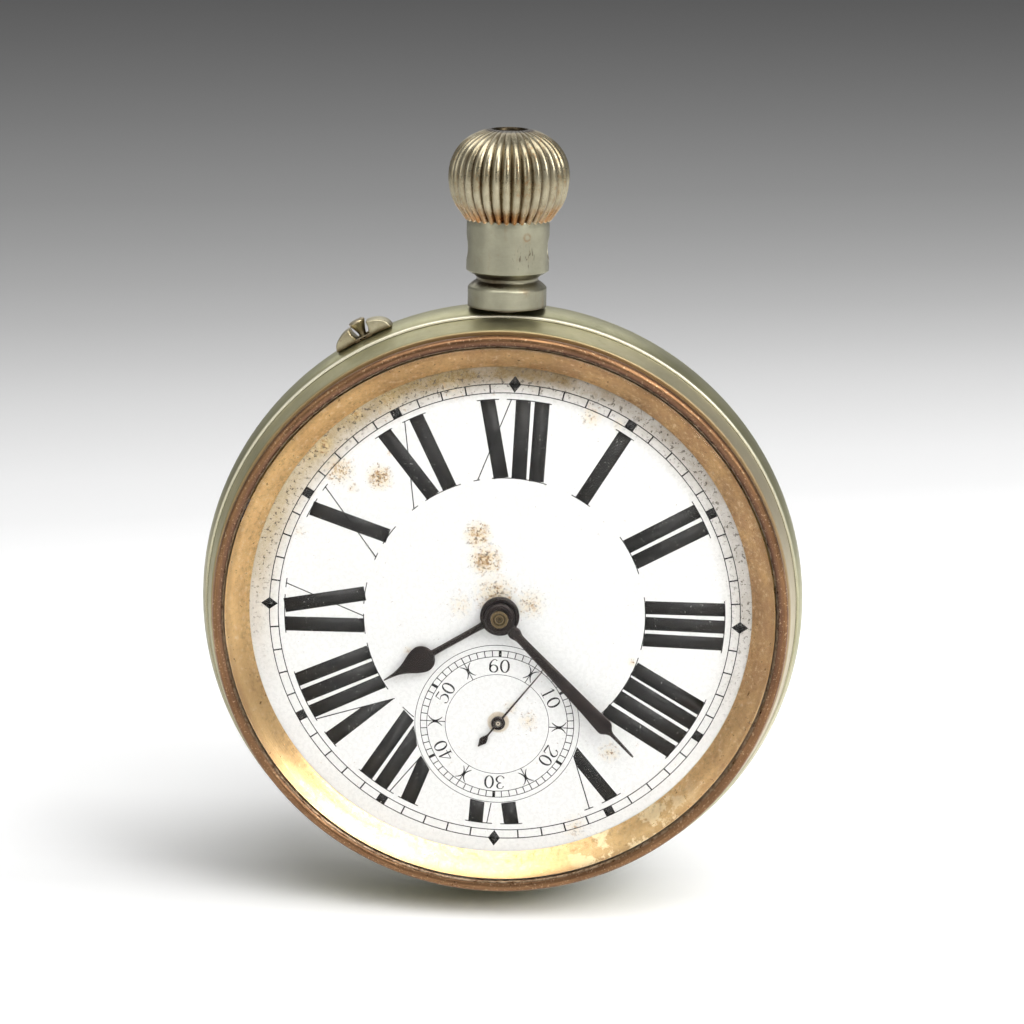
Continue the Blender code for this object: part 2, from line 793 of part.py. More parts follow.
def make_pendant():
    bore = sleeve_radius + running_gap
    profile = [
        (neck_radius, neck_top),
        (neck_radius, neck_foot + neck_chamfer),
        (neck_radius - neck_chamfer, neck_foot),
        (groove_radius, neck_foot),
        (groove_radius, collar_top + collar_bevel),
        (collar_radius - collar_bevel, collar_top + collar_bevel),
        (collar_radius, collar_top),
        (collar_radius, collar_foot),
        (spigot_radius, collar_foot),
        (spigot_radius, collar_foot - spigot_length),
        (bore, collar_foot - spigot_length),
        (bore, neck_top),
    ]
    neck = turned("pendant_neck", profile, nickel, (0.0, 0.0, stem_height), inner_steps, True)
    for side in (-1, 1):
        seat = rod("bow_seat_" + str(side + 1), bow_seat_radius, -bow_seat_depth, neck_radius, None)
        seat.location = (side * neck_radius, neck_top - bow_seat_drop, stem_height)
        seat.rotation_euler.y = side * math.radians(90.0)
        cut(neck, seat)
    ring("pendant_sleeve", sleeve_radius, stem_radius + running_gap, collar_foot - spigot_length,
         neck_top - fit_gap, steel, along_y=True)


crown_foot = neck_top + fit_gap


def make_crown():
    """An onion crown: the ribs swell with its side and die out at the top and the foot."""
    height_shares = (0.0, 0.1, 0.32, 0.64, 0.88, 1.0)
    steps = 2 * crown_ribs
    shape = bmesh.new()
    rows = []
    for share in height_shares:
        swell = math.sin(math.pi * (0.12 + 0.76 * share))
        base = crown_foot_radius if share < 0.5 else crown_top_radius
        side = base + (crown_radius - base) * max(0.0, (swell - 0.37) / 0.63) ** 0.8
        row = []
        for step in range(steps):
            turn = 2 * math.pi * step / steps
            depth = crown_rib_depth * (side / crown_radius) ** 2 if step % 2 else 0.0
            reach = side - depth
            row.append(shape.verts.new((reach * math.cos(turn), reach * math.sin(turn),
                                        share * crown_height)))
        rows.append(row)
    for lower, upper in zip(rows, rows[1:]):
        for step in range(steps):
            after = (step + 1) % steps
            shape.faces.new((lower[step], lower[after], upper[after], upper[step]))
    shape.faces.new(rows[0][::-1])
    shape.faces.new(rows[-1])
    mesh = bpy.data.meshes.new("crown")
    shape.to_mesh(mesh)
    shape.free()
    crown = place("crown", mesh, (0.0, crown_foot, stem_height), watch, nickel)
    crown.rotation_euler.x = math.radians(-90.0)
    cut(crown, rod("crown_dimple", crown_dimple_radius, crown_foot + crown_height - crown_dimple_depth,
                   crown_foot + crown_height + overrun, None, along_y=True))
    cut(crown, rod("crown_bore", stem_radius + running_gap, crown_foot - overrun,
                   crown_foot + crown_height / 2 + fit_gap, None, along_y=True))


winding_pinion_end = crown_wheel_place + crown_wheel_radius - 0.35 * winding_pinion_length


def make_stem():
    end = winding_pinion_end - winding_pinion_length
    rod("winding_stem", stem_radius, end, crown_foot + crown_height / 2, steel, along_y=True)
    rim = ratchet_rim(winding_pinion_radius, winding_pinion_leaves, keyless_tooth, 0.5)
    pinion = flat("winding_pinion", [rim, circle(stem_radius + running_gap, small_steps)], winding_pinion_end,
                  winding_pinion_end + winding_pinion_length, steel)
    pinion.location = (0.0, winding_pinion_end + winding_pinion_length / 2, stem_height)
    pinion.rotation_euler.x = math.radians(-90.0)


# Hand-setting pin
def make_pin_guard():
    """Two half-moon ears on the band, with the pin's head between them."""
    foot = case_radius + running_gap
    turn = Matrix.Rotation(math.radians(set_pin_angle), 2)
    ears = [(guard_half_width * x, case_radius + guard_height * y) for x, y in circle(1.0, guard_points)]
    loops = [[tuple(turn @ Vector(spot)) for spot in ears]]
    half = guard_thickness / 2
    guard = flat("pin_guard", loops, stem_height - half, stem_height + half, nickel)
    cut(guard, rod("guard_seat", foot, stem_height - guard_thickness, stem_height + guard_thickness, None,
                   steps=case_steps * 2))
    half = guard_slot / 2
    near = foot + guard_web
    far = case_radius + 2 * guard_height
    slot = [(-half, near), (half, near), (half, far), (-half, far)]
    cut(guard, flat("guard_slot", [[tuple(turn @ Vector(spot)) for spot in slot]],
                    stem_height - guard_thickness, stem_height + guard_thickness))
    bore = set_pin_head_radius + running_gap
    cut(guard, radial_rod("guard_hole", bore, case_radius - overrun, near + overrun))


def make_set_pin():
    head_top = case_radius + set_pin_reach
    head_foot = head_top - set_pin_head_height
    tail = bar_post_ring + bar_post_radius + running_gap
    profile = [
        (0.0, head_top),
        (set_pin_head_radius * 0.85, head_top),
        (set_pin_head_radius, head_top - set_pin_head_height * 0.12),
        (set_pin_radius, head_foot),
        (set_pin_radius, tail),
        (0.0, tail),
    ]
    pin = turned("set_pin", profile, brass, (0.0, 0.0, stem_height), small_steps)
    pin.rotation_euler = (math.radians(-90.0), 0.0, math.radians(set_pin_angle))


# Movement: plate, ring and dial
def arbor_places():
    return {
        "center": (center_place, center_arbor_radius),
        "third": (third_place, arbor_radius),
        "fourth": (seconds_place, seconds_arbor_radius),
        "escape": (escape_place, arbor_radius),
        "pallet": (pallet_place, arbor_radius),
        "balance": (balance_place, arbor_radius),
        "barrel": (barrel_place, barrel_arbor_radius),
        "minute": (minute_wheel_place, arbor_radius),
    }


case_screw_ring = plate_radius + case_screw_offset
barrel_feet = [plate_share(share) for share in barrel_foot_shares]
train_feet = [plate_share(share) for share in train_foot_shares]
pallet_foot = plate_share(pallet_foot_share)
balance_foot = plate_share(balance_foot_share)


def make_plate():
    plate = flat("main_plate", [circle(plate_radius, inner_steps)], plate_bottom, plate_top, brass)
    for name, (spot, radius) in arbor_places().items():
        drill(plate, [spot], radius + running_gap, plate_bottom, plate_top)
    screws = barrel_feet + train_feet + [pallet_foot, balance_foot, click_place]
    drill(plate, screws, screw_radius + running_gap, plate_bottom, plate_top)
    drill(plate, [crown_wheel_center], idler_stud_radius * 1.6 + running_gap, plate_bottom, plate_top)
    feet = [toward(center_place, dial_foot_ring, angle) for angle in dial_foot_angles]
    drill(plate, feet, dial_foot_radius + fit_gap, plate_bottom, plate_top)
    width = winding_pinion_radius + fit_gap
    inner = winding_pinion_end - fit_gap
    outer = plate_radius + overrun
    mouth = [(-width, inner), (width, inner), (width, outer), (-width, outer)]
    cut(plate, flat("plate_pinion_slot", [mouth], plate_bottom - overrun, plate_top + overrun))
    width = stem_radius + running_gap
    lead = winding_pinion_end - winding_pinion_length - fit_gap
    mouth = [(-width, lead), (width, lead), (width, inner + fit_gap), (-width, inner + fit_gap)]
    cut(plate, flat("plate_stem_slot", [mouth], plate_bottom - overrun, stem_height + width))
    room = bar_post_radius + fit_gap
    notch = link(bar_post_place, room, bar_post_pressed, room)
    cut(plate, flat("plate_post_slot", [notch], plate_bottom - overrun, plate_top + overrun))
    bore = set_pin_radius + running_gap
    cut(plate, radial_rod("plate_pin_hole", bore, bar_post_ring, plate_radius + overrun))


def make_movement_ring():
    ledge_top = plate_bottom - fit_gap
    inner = plate_radius + fit_gap
    outer = lip_inner_radius - fit_gap
    foot = ring_shelf_height + fit_gap
    ledge_bottom = max(foot, ledge_top - ring_ledge_thickness)
    profile = [
        (outer, plate_top), (outer, foot), (inner - ring_ledge_width, foot),
        (inner - ring_ledge_width, ledge_bottom + fit_gap), (inner, ledge_top), (inner, plate_top),
    ]
    band = turned("movement_ring", profile, brass, steps=inner_steps)
    cut(band, radial_rod("ring_pin_hole", set_pin_radius + running_gap, inner - ring_ledge_width - overrun,
                         outer + overrun))
    bore = sleeve_radius + fit_gap
    cut(band, rod("ring_stem_hole", bore, plate_radius - 2 * overrun, outer + overrun, None, along_y=True))
    spots = [toward(center_place, case_screw_ring, angle) for angle in case_screw_angles]
    drill(band, spots, screw_radius + running_gap, foot, plate_top)
    for number, angle in enumerate(case_screw_angles):
        make_screw("case_screw_" + str(number + 1), toward(center_place, case_screw_ring, angle),
                   plate_top + fit_gap, plate_bottom, head_radius=screw_head_radius * 1.5)


def make_dial():
    loops = [circle(dial_radius, case_steps), circle(dial_hole_radius, small_steps),
             circle(seconds_hole_radius, tiny_steps, seconds_place)]
    dial = flat("dial", loops, dial_bottom, dial_top, enamel)
    for number, angle in enumerate(dial_foot_angles):
        spot = toward(center_place, dial_foot_ring, angle)
        join(dial, rod("dial_foot_" + str(number + 1), dial_foot_radius, plate_bottom + overrun,
                       dial_bottom + dial_thickness / 2, None, spot, tiny_steps))


# Screws
def make_screw(name, spot, seat, tip, head_radius=screw_head_radius, shank=screw_radius,
               height=screw_head_height):
    """A slotted screw; its head lies on the side of the seat away from its tip."""
    side = 1.0 if seat > tip else -1.0
    head = seat + side * height
    profile = [(0.0, head), (head_radius, head), (head_radius, seat), (shank, seat), (shank, tip), (0.0, tip)]
    if side < 0:
        profile.reverse()
    screw = turned(name, profile, steel, (spot[0], spot[1], 0.0), tiny_steps)
    half = screw_slot / 2
    reach = head_radius + running_gap
    slot = [(spot[0] - reach, spot[1] - half), (spot[0] + reach, spot[1] - half),
            (spot[0] + reach, spot[1] + half), (spot[0] - reach, spot[1] + half)]
    ends = sorted((head - side * height / 2, head + side * overrun))
    cut(screw, flat(name + "_slot", [slot], ends[0], ends[1]))
    return screw


# Bridges
def make_bridge(name, runs, feet, bottom, top, bores, look=brass):
    """Straight fingers from boss to boss, with feet up to the main plate and a screw through each foot."""
    start = runs[0]
    bridge = flat(name, [link(*start)], bottom, top, look)
    for number, run in enumerate(runs[1:]):
        join(bridge, flat(name + "_finger_" + str(number), [link(*run)], bottom, top))
    for number, foot in enumerate(feet):
        join(bridge, rod(name + "_foot_" + str(number), foot_radius, (bottom + top) / 2,
                         plate_bottom - running_gap, None, foot))
    for spot, radius in bores:
        drill(bridge, [spot], radius + running_gap, bottom, top)
    drill(bridge, feet, screw_radius + running_gap, bottom, plate_bottom)
    for number, foot in enumerate(feet):
        suffix = "_" + str(number + 1) if len(feet) > 1 else ""
        make_screw(name + "_screw" + suffix, foot, bottom - fit_gap, plate_bottom + plate_thickness / 2)
    return bridge


def make_bridges():
    make_bridge(
        "barrel_bridge",
        [
            (barrel_feet[0], foot_radius * 1.3, barrel_place, barrel_boss_radius),
            (barrel_place, barrel_boss_radius, center_place, boss_radius * 1.2),
            (barrel_place, barrel_boss_radius * 0.9, barrel_feet[1], foot_radius * 1.3),
        ],
        barrel_feet, bridge_bottom, bridge_top,
        [(barrel_place, barrel_arbor_radius), (center_place, center_arbor_radius)],
    )
    make_bridge(
        "train_bridge",
        [
            (train_feet[0], foot_radius * 1.3, third_place, boss_radius),
            (third_place, boss_radius, seconds_place, boss_radius * 1.15),
            (seconds_place, boss_radius * 1.15, escape_place, boss_radius * 0.9),
            (seconds_place, boss_radius * 1.1, train_feet[1], foot_radius * 1.3),
        ],
        train_feet, bridge_bottom, bridge_top,
        [(third_place, arbor_radius), (seconds_place, seconds_arbor_radius), (escape_place, arbor_radius)],
    )
    make_bridge(
        "pallet_cock",
        [(pallet_foot, foot_radius * 0.85, pallet_place, boss_radius * 0.6)],
        [pallet_foot], pallet_cock_bottom, pallet_cock_top, [(pallet_place, arbor_radius)],
    )
    cock = make_bridge(
        "balance_cock",
        [(balance_foot, foot_radius * 1.4, balance_place, boss_radius * 1.2)],
        [balance_foot], bridge_bottom, bridge_top, [(balance_place, arbor_radius)],
    )
    stud = toward(balance_place, hairspring_outer + 3 * hairspring_wire + running_gap, 40.0)
    arm = link(balance_place, boss_radius * 0.8, stud, boss_radius * 0.4)
    join(cock, flat("balance_cock_arm", [arm], bridge_bottom, bridge_top))
    join(cock, rod("hairspring_stud", 3 * hairspring_wire, bridge_bottom + bridge_thickness / 2,
                   hairspring_height + 2 * hairspring_wire, None, stud, tiny_steps))
    drill(cock, [balance_place], arbor_radius + running_gap, bridge_bottom, bridge_top)
    tail = toward(balance_place, 4 * boss_radius, 250.0)
    thickness = bar_thickness
    lever = link(balance_place, boss_radius, tail, boss_radius * 0.3)
    flat("regulator", [[(x - balance_place.x, y - balance_place.y) for x, y in lever],
                       circle(arbor_radius + running_gap, tiny_steps)],
         bridge_bottom - fit_gap - thickness, bridge_bottom - fit_gap, steel, balance_place)


# Train
def make_wheel(name, spot, teeth, module, phase, top, spokes, look=brass):
    rim = pitch_radius(teeth, module) - (tooth_root_share + 2.5) * module
    hub = max(boss_radius * 0.8, arbor_radius * 3)
    loops = [wheel_rim(teeth, module, phase)]
    if spokes:
        loops += windows(spokes, hub, rim, boss_radius * 0.4)
    return flat(name, loops, top - wheel_thickness, top, look, spot)


def make_pinion(name, spot, leaves, module, phase, bottom, top):
    return flat(name, [pinion_rim(leaves, module, phase)], bottom, top, None, spot)


def make_train():
    pivot_bottom = bridge_bottom + bridge_thickness / 3
    pivot_top = plate_bottom + plate_thickness / 2

    rim = wheel_rim(barrel_teeth, barrel_module, heading(barrel_place, center_place))
    barrel = flat("barrel", [rim, circle(barrel_drum_radius - barrel_wall / 2, inner_steps)],
                  barrel_top - barrel_rim, barrel_top, brass, barrel_place)
    drum = [
        (barrel_drum_radius, barrel_top - barrel_rim / 2), (barrel_drum_radius, barrel_bottom),
        (barrel_arbor_radius + running_gap, barrel_bottom),
        (barrel_arbor_radius + running_gap, barrel_bottom + barrel_wall),
        (barrel_drum_radius - barrel_wall, barrel_bottom + barrel_wall),
        (barrel_drum_radius - barrel_wall, barrel_top - barrel_rim / 2),
    ]
    join(barrel, turned("barrel_drum", drum, None, (*barrel_place, 0.0), inner_steps))
    lid_top = barrel_top - running_gap
    ring("barrel_cover", barrel_drum_radius - barrel_wall - running_gap, barrel_arbor_radius + running_gap,
         lid_top - barrel_lid, lid_top, brass, barrel_place, inner_steps)
    make_mainspring(barrel_bottom + barrel_wall + fit_gap, lid_top - barrel_lid - fit_gap)
    arbor = rod("barrel_arbor", barrel_arbor_radius, pivot_bottom, motion_top, steel, barrel_place)
    join(arbor, rod("barrel_hub", barrel_hub_radius, barrel_bottom + barrel_wall + running_gap,
                    lid_top - barrel_lid - running_gap, None, barrel_place))
    drill(arbor, [barrel_place], screw_radius, motion_bottom - overrun, motion_top)

    center = make_wheel("center_wheel", center_place, center_teeth, center_module,
                        heading(center_place, third_place), center_wheel_top, 3)
    join(center,
         rod("center_arbor", center_arbor_radius, pivot_bottom, cannon_top - 4 * cannon_dimple_depth, None,
             center_place),
         make_pinion("center_pinion", center_place, center_leaves, barrel_module,
                     heading(center_place, barrel_place), center_pinion_top - center_pinion_length,
                     center_pinion_top))

    third = make_wheel("third_wheel", third_place, third_teeth, third_module,
                       heading(third_place, seconds_place), third_wheel_top, 3)
    join(third,
         rod("third_arbor", arbor_radius, pivot_bottom, pivot_top, None, third_place, tiny_steps),
         make_pinion("third_pinion", third_place, third_leaves, center_module,
                     heading(third_place, center_place), center_wheel_top - wheel_thickness - fit_gap,
                     center_wheel_top + fit_gap))

    fourth = make_wheel("fourth_wheel", seconds_place, fourth_teeth, fourth_module,
                        heading(seconds_place, escape_place), fourth_wheel_top, 3)
    join(fourth,
         rod("fourth_arbor", seconds_arbor_radius, pivot_bottom, seconds_hand_top - tip_half, None,
             seconds_place, tiny_steps),
         make_pinion("fourth_pinion", seconds_place, fourth_leaves, third_module,
                     heading(seconds_place, third_place), third_wheel_top - wheel_thickness - fit_gap,
                     third_wheel_top + fit_gap))

    rim = ratchet_rim(escape_radius, escape_teeth, escape_radius * 0.22, 0.28)
    hub = windows(3, arbor_radius * 2, escape_radius * 0.62, arbor_radius)
    escape = flat("escape_wheel", [rim] + hub, escape_wheel_top - wheel_thickness, escape_wheel_top, steel,
                  escape_place)
    join(escape,
         rod("escape_arbor", arbor_radius * 0.6, pivot_bottom, pivot_top, None, escape_place, tiny_steps),
         make_pinion("escape_pinion", escape_place, escape_leaves, fourth_module,
                     heading(escape_place, seconds_place), fourth_wheel_top - wheel_thickness - fit_gap,
                     fourth_wheel_top + fit_gap))


def make_mainspring(bottom, top):
    """One flat strip wound round the arbor's hub, out to the drum's wall."""
    inner = barrel_hub_radius + fit_gap
    outer = barrel_drum_radius - barrel_wall - fit_gap - mainspring_strip
    count = curl_points * mainspring_turns
    near = []
    far = []
    for index in range(count + 1):
        turn = 2 * math.pi * mainspring_turns * index / count
        radius = inner + (outer - inner) * index / count
        near.append((radius * math.cos(turn), radius * math.sin(turn)))
        back = radius + mainspring_strip
        far.append((back * math.cos(turn), back * math.sin(turn)))
    flat("mainspring", [near + far[::-1]], bottom, top, steel, barrel_place)


# Escapement
def make_escapement():
    top = escape_wheel_top
    bottom = top - wheel_thickness
    pivot_top = plate_bottom + plate_thickness / 2
    origin = center_place
    pin_reach = impulse_pin_ring + impulse_pin_radius + running_gap
    notch = toward(origin, balance_distance - pin_reach - 2.5 * arbor_radius, balance_angle)
    stone_ring = escape_radius + 0.6 * arbor_radius + 2 * running_gap
    lever = link(origin, 1.6 * arbor_radius, notch, 0.9 * arbor_radius)
    fork = flat("pallet_fork", [lever], bottom, top, steel, pallet_place)
    back = heading(escape_place, pallet_place)
    for side in (-1, 1):
        stone = toward(escape_place, stone_ring, back + side * 33.0) - pallet_place
        shape = link(origin, 1.2 * arbor_radius, stone, 0.5 * arbor_radius)
        arm = flat("pallet_arm_" + str(side + 1), [shape], bottom, top, None, pallet_place)
        horn_end = toward(notch, 1.2 * arbor_radius, balance_angle + side * 40.0)
        horn = flat("fork_horn_" + str(side + 1), [link(notch, 0.6 * arbor_radius, horn_end,
                                                        0.3 * arbor_radius)], bottom, top, None, pallet_place)
        join(fork, arm, horn)
    join(fork, rod("pallet_arbor", arbor_radius * 0.8, pallet_cock_bottom + fit_gap, pivot_top, None,
                   pallet_place, tiny_steps))

    wheel = [circle(balance_radius, inner_steps)]
    wheel += windows(2, arbor_radius * 3, balance_radius - balance_rim, balance_rim)
    wheel += [circle(arbor_radius + running_gap, tiny_steps)]
    flat("balance_wheel", wheel, balance_bottom, balance_top, brass, balance_place)
    staff = rod("balance_staff", arbor_radius, bridge_bottom + bridge_thickness / 4, pivot_top, steel,
                balance_place, tiny_steps)
    roller_bottom = escape_wheel_top + fit_gap
    pin = toward(balance_place, impulse_pin_ring, heading(balance_place, pallet_place))
    join(staff, rod("roller", roller_radius, roller_bottom, roller_bottom + roller_thickness, None,
                    balance_place))
    pin_top = roller_bottom + roller_thickness / 2
    join(staff, rod("impulse_pin", impulse_pin_radius, bottom, pin_top, None, pin, tiny_steps))
    make_hairspring()


def make_hairspring():
    """A flat spiral of round wire from its collar at the staff to its stud on the cock."""
    count = curl_points * hairspring_turns
    curve = bpy.data.curves.new("hairspring_path", "CURVE")
    curve.dimensions = "3D"
    curve.bevel_depth = hairspring_wire
    curve.bevel_resolution = 1
    curve.use_fill_caps = True
    spline = curve.splines.new("POLY")
    spline.points.add(count)
    for index in range(count + 1):
        turn = 2 * math.pi * hairspring_turns * index / count + math.radians(40.0)
        radius = hairspring_inner + (hairspring_outer - hairspring_inner) * index / count
        spline.points[index].co = (radius * math.cos(turn), radius * math.sin(turn), 0.0, 1.0)
    path = bpy.data.objects.new("hairspring_path", curve)
    tools.objects.link(path)
    bpy.context.view_layer.update()
    graph = bpy.context.evaluated_depsgraph_get()
    mesh = bpy.data.meshes.new_from_object(path.evaluated_get(graph))
    bpy.data.objects.remove(path)
    shape = bmesh.new()
    shape.from_mesh(mesh)
    bmesh.ops.remove_doubles(shape, verts=shape.verts, dist=weld)
    shape.to_mesh(mesh)
    shape.free()
    place("hairspring", mesh, (*balance_place, hairspring_height), watch, dark_steel)


# Keyless work and motion work
def make_keyless():
    look = steel
    bottom = motion_bottom
    top = motion_top
    studs = idler_stud_radius
    crown_stud = studs * 1.6
    rim = ratchet_rim(crown_wheel_radius, crown_wheel_teeth, keyless_tooth, 0.5)
    bore = circle(crown_stud + running_gap, small_steps)
    flat("crown_wheel", [rim, bore], bottom, top, look, crown_wheel_center)
    for name, spot in (("winding_idler", winding_idler_place), ("setting_idler", setting_idler_place)):
        flat(name, [ratchet_rim(idler_radius, idler_teeth, keyless_tooth, 0.5),
                    circle(studs + running_gap, small_steps)], bottom, top, look, spot)
    flat("ratchet_wheel", [ratchet_rim(ratchet_radius, ratchet_teeth, keyless_tooth, 0.9),
                           circle(barrel_arbor_radius + running_gap, small_steps)], bottom, top, look,
         barrel_place)
    make_screw("ratchet_screw", barrel_place, top + running_gap, top - 2 * motion_thickness,
               head_radius=1.6 * barrel_arbor_radius, shank=screw_radius - running_gap)

    bar_bottom = hour_wheel_bottom
    bar_top = bar_bottom + bar_thickness
    origin = crown_wheel_center
    arm = link(origin, bar_boss_radius, winding_idler_place, bar_end_radius)
    bar = flat("rocking_bar", [arm], bar_bottom, bar_top, look)
    for name, spot, end in (("bar_setting_arm", setting_idler_place, bar_end_radius),
                            ("bar_tail", bar_post_place, 2 * bar_post_radius)):
        join(bar, flat(name, [link(origin, bar_boss_radius, spot, end)], bar_bottom, bar_top))
    for name, spot in (("winding_stud", winding_idler_place), ("setting_stud", setting_idler_place)):
        join(bar, rod(name, studs, bottom, bar_bottom + bar_thickness / 2, None, spot))
    post_top = bar_bottom + bar_thickness / 2
    join(bar, rod("bar_post", bar_post_radius, stem_height - set_pin_radius, post_top, None, bar_post_place))
    drill(bar, [origin], crown_stud + running_gap, bar_bottom, bar_top, small_steps)
    make_screw("crown_wheel_screw", origin, bar_top + running_gap, plate_bottom + plate_thickness / 4,
               head_radius=bar_boss_radius * 0.85, shank=crown_stud, height=flat_head_height)

    click = link(click_place, click_boss_radius, click_nose_place, click_nose_radius)
    flat("click", [[(x - click_place.x, y - click_place.y) for x, y in click],
                   circle(screw_radius + running_gap, small_steps)], bottom, top, look, click_place)
    make_screw("click_screw", click_place, top + running_gap, plate_bottom + plate_thickness / 2)
    root = toward(click_place, click_distance, heading(barrel_place, click_place) + 60.0)
    touch = toward(click_place, click_boss_radius + click_nose_radius + fit_gap,
                   heading(click_place, click_nose_place) - 90.0)
    touch = touch + (click_nose_place - click_place) * 0.25
    strip = link(root, click_boss_radius * 0.8, touch, click_nose_radius / 2)
    flat("click_spring", [strip], bottom, top, look)


hour_pipe_bore = cannon_radius + running_gap
seconds_hand_bottom = dial_top + hand_layer
seconds_hand_top = seconds_hand_bottom + hand_thickness
hour_boss_bottom = seconds_hand_top + hand_layer / 2
hour_boss_top = hour_boss_bottom + hour_boss_height
minute_boss_bottom = hour_boss_top + hand_layer / 2
minute_boss_top = minute_boss_bottom + minute_boss_height
cannon_top = minute_boss_top + hand_layer


def make_motion_work():
    foot = motion_bottom - fit_gap
    dimple = cannon_top - cannon_dimple_depth
    profile = [(0.0, dimple), (cannon_dimple_radius, dimple), (cannon_dimple_radius, cannon_top),
               (cannon_radius, cannon_top), (cannon_radius, foot), (0.0, foot)]
    cannon = turned("cannon_pinion", profile, steel, (*center_place, 0.0))
    join(cannon, make_pinion("cannon_leaves", center_place, cannon_leaves, cannon_module,
                             heading(center_place, minute_wheel_place), motion_bottom, motion_top))
    cut(cannon, rod("cannon_bore", cannon_bore, foot - overrun, cannon_top - 3 * cannon_dimple_depth, None,
                    center_place))

    minute = flat("minute_wheel", [wheel_rim(minute_teeth, cannon_module,
                                             heading(minute_wheel_place, center_place))]
                  + windows(3, boss_radius * 0.9, pitch_radius(minute_teeth, cannon_module) * 0.75,
                            boss_radius * 0.5),
                  motion_bottom, motion_top, brass, minute_wheel_place)
    join(minute, make_pinion("minute_pinion", minute_wheel_place, minute_leaves, hour_module,
                             heading(minute_wheel_place, center_place), motion_top - motion_thickness / 2,
                             hour_wheel_top))
    join(minute, rod("minute_arbor", arbor_radius, plate_bottom + plate_thickness / 2, motion_top, None,
                     minute_wheel_place, tiny_steps))

    pipe = ring("hour_wheel", hour_pipe_radius, hour_pipe_bore, hour_wheel_bottom, hour_boss_top - tip_half,
                brass)
    rim = flat("hour_teeth", [wheel_rim(hour_teeth, hour_module, heading(center_place, minute_wheel_place)),
                              circle((hour_pipe_radius + hour_pipe_bore) / 2, small_steps)],
               hour_wheel_bottom + running_gap, hour_wheel_top)
    join(pipe, rim)


# Hands
def make_hands():
    blade_bottom = hour_boss_bottom + running_gap
    pear = hour_pear_place
    stations = [
        (0.0, hour_shank_half),
        (pear - 3 * hour_shank_half, hour_shank_half),
        (pear - hour_pear_half, 0.55 * hour_pear_half),
        (pear - 0.6 * hour_pear_half, 0.85 * hour_pear_half),
        (pear, hour_pear_half),
        (pear + 0.6 * hour_pear_half, 0.8 * hour_pear_half),
        (pear + 1.1 * hour_pear_half, 0.35 * hour_pear_half),
        (hour_length, tip_half),
    ]
    bore = hour_pipe_radius + running_gap / 2
    make_hand("hour_hand", stations, hour_angle, blade_bottom, hour_boss_radius, hour_boss_bottom,
              hour_boss_top, bore, center_place)
    blade_bottom = minute_boss_bottom + running_gap
    stations = [
        (0.0, minute_root_half),
        (minute_boss_radius * 1.5, minute_root_half),
        (minute_belly_place, minute_belly_half),
        (0.92 * minute_length, 0.45 * minute_belly_half),
        (minute_length, tip_half),
    ]
    make_hand("minute_hand", stations, minute_angle, blade_bottom, minute_boss_radius, minute_boss_bottom,
              minute_boss_top, cannon_radius + running_gap / 2, center_place)
    stations = [
        (-seconds_tail, tip_half),
        (-0.75 * seconds_tail, seconds_spade_half),
        (-0.55 * seconds_tail, tip_half),
        (0.0, seconds_half),
        (seconds_length, tip_half),
    ]
    make_hand("seconds_hand", stations, seconds_angle, seconds_hand_bottom + tip_half, seconds_boss_radius,
              seconds_hand_bottom, seconds_hand_top, seconds_arbor_radius + running_gap / 2, seconds_place)


def make_hand(name, stations, angle, blade_bottom, boss, bottom, top, bore, spot):
    hand = ring(name, boss, 0.95 * bore, bottom, top, dark_steel, spot)
    blade_top = min(blade_bottom + hand_thickness, top - tip_half)
    join(hand, flat(name + "_blade", [blade(stations, angle)], blade_bottom, blade_top, None, spot))
    drill(hand, [spot], bore, bottom, top, small_steps)


# Smooth shading on the finished meshes
def settle():
    """Give each piece its finished mesh, so that it can be shaded smooth between sharp edges."""
    bpy.context.view_layer.update()
    graph = bpy.context.evaluated_depsgraph_get()
    meshes = {piece: bpy.data.meshes.new_from_object(piece.evaluated_get(graph))
              for piece in watch.objects if piece.type == "MESH"}
    for piece, mesh in meshes.items():
        shape = bmesh.new()
        shape.from_mesh(mesh)
        bmesh.ops.remove_doubles(shape, verts=shape.verts, dist=weld)
        shape.to_mesh(mesh)
        shape.free()
        piece.modifiers.clear()
        piece.data = mesh
        mesh.shade_smooth()
        mesh.set_sharp_from_angle(angle=math.radians(sharp_angle))


make_band()
make_back_cover()
make_dust_cover()
make_bezel()
make_crystal()
make_flange()
make_pendant()
make_crown()
make_stem()
make_pin_guard()
make_set_pin()
make_plate()
make_movement_ring()
make_dial()
make_bridges()
make_train()
make_escapement()
make_keyless()
make_motion_work()
make_hands()
settle()
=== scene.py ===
import math

import bmesh
import bpy
import numpy as np
from mathutils import Matrix, Vector


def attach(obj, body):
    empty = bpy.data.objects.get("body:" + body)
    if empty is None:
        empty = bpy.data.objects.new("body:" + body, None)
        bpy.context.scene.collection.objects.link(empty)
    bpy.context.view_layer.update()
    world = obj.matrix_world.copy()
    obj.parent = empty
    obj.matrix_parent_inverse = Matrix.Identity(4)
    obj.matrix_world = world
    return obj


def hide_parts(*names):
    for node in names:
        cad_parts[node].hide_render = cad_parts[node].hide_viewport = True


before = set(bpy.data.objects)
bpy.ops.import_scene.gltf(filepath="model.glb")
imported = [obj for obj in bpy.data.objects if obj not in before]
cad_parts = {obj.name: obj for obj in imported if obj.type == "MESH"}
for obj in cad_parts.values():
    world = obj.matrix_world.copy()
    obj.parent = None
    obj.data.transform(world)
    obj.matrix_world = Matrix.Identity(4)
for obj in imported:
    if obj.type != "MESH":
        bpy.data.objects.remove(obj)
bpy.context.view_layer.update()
mm = 0.001
stemPlace = -10.0   # the pendant's axis lies this far in front of the back, towards the viewer
print("frame loaded:", len(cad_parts), "nodes")


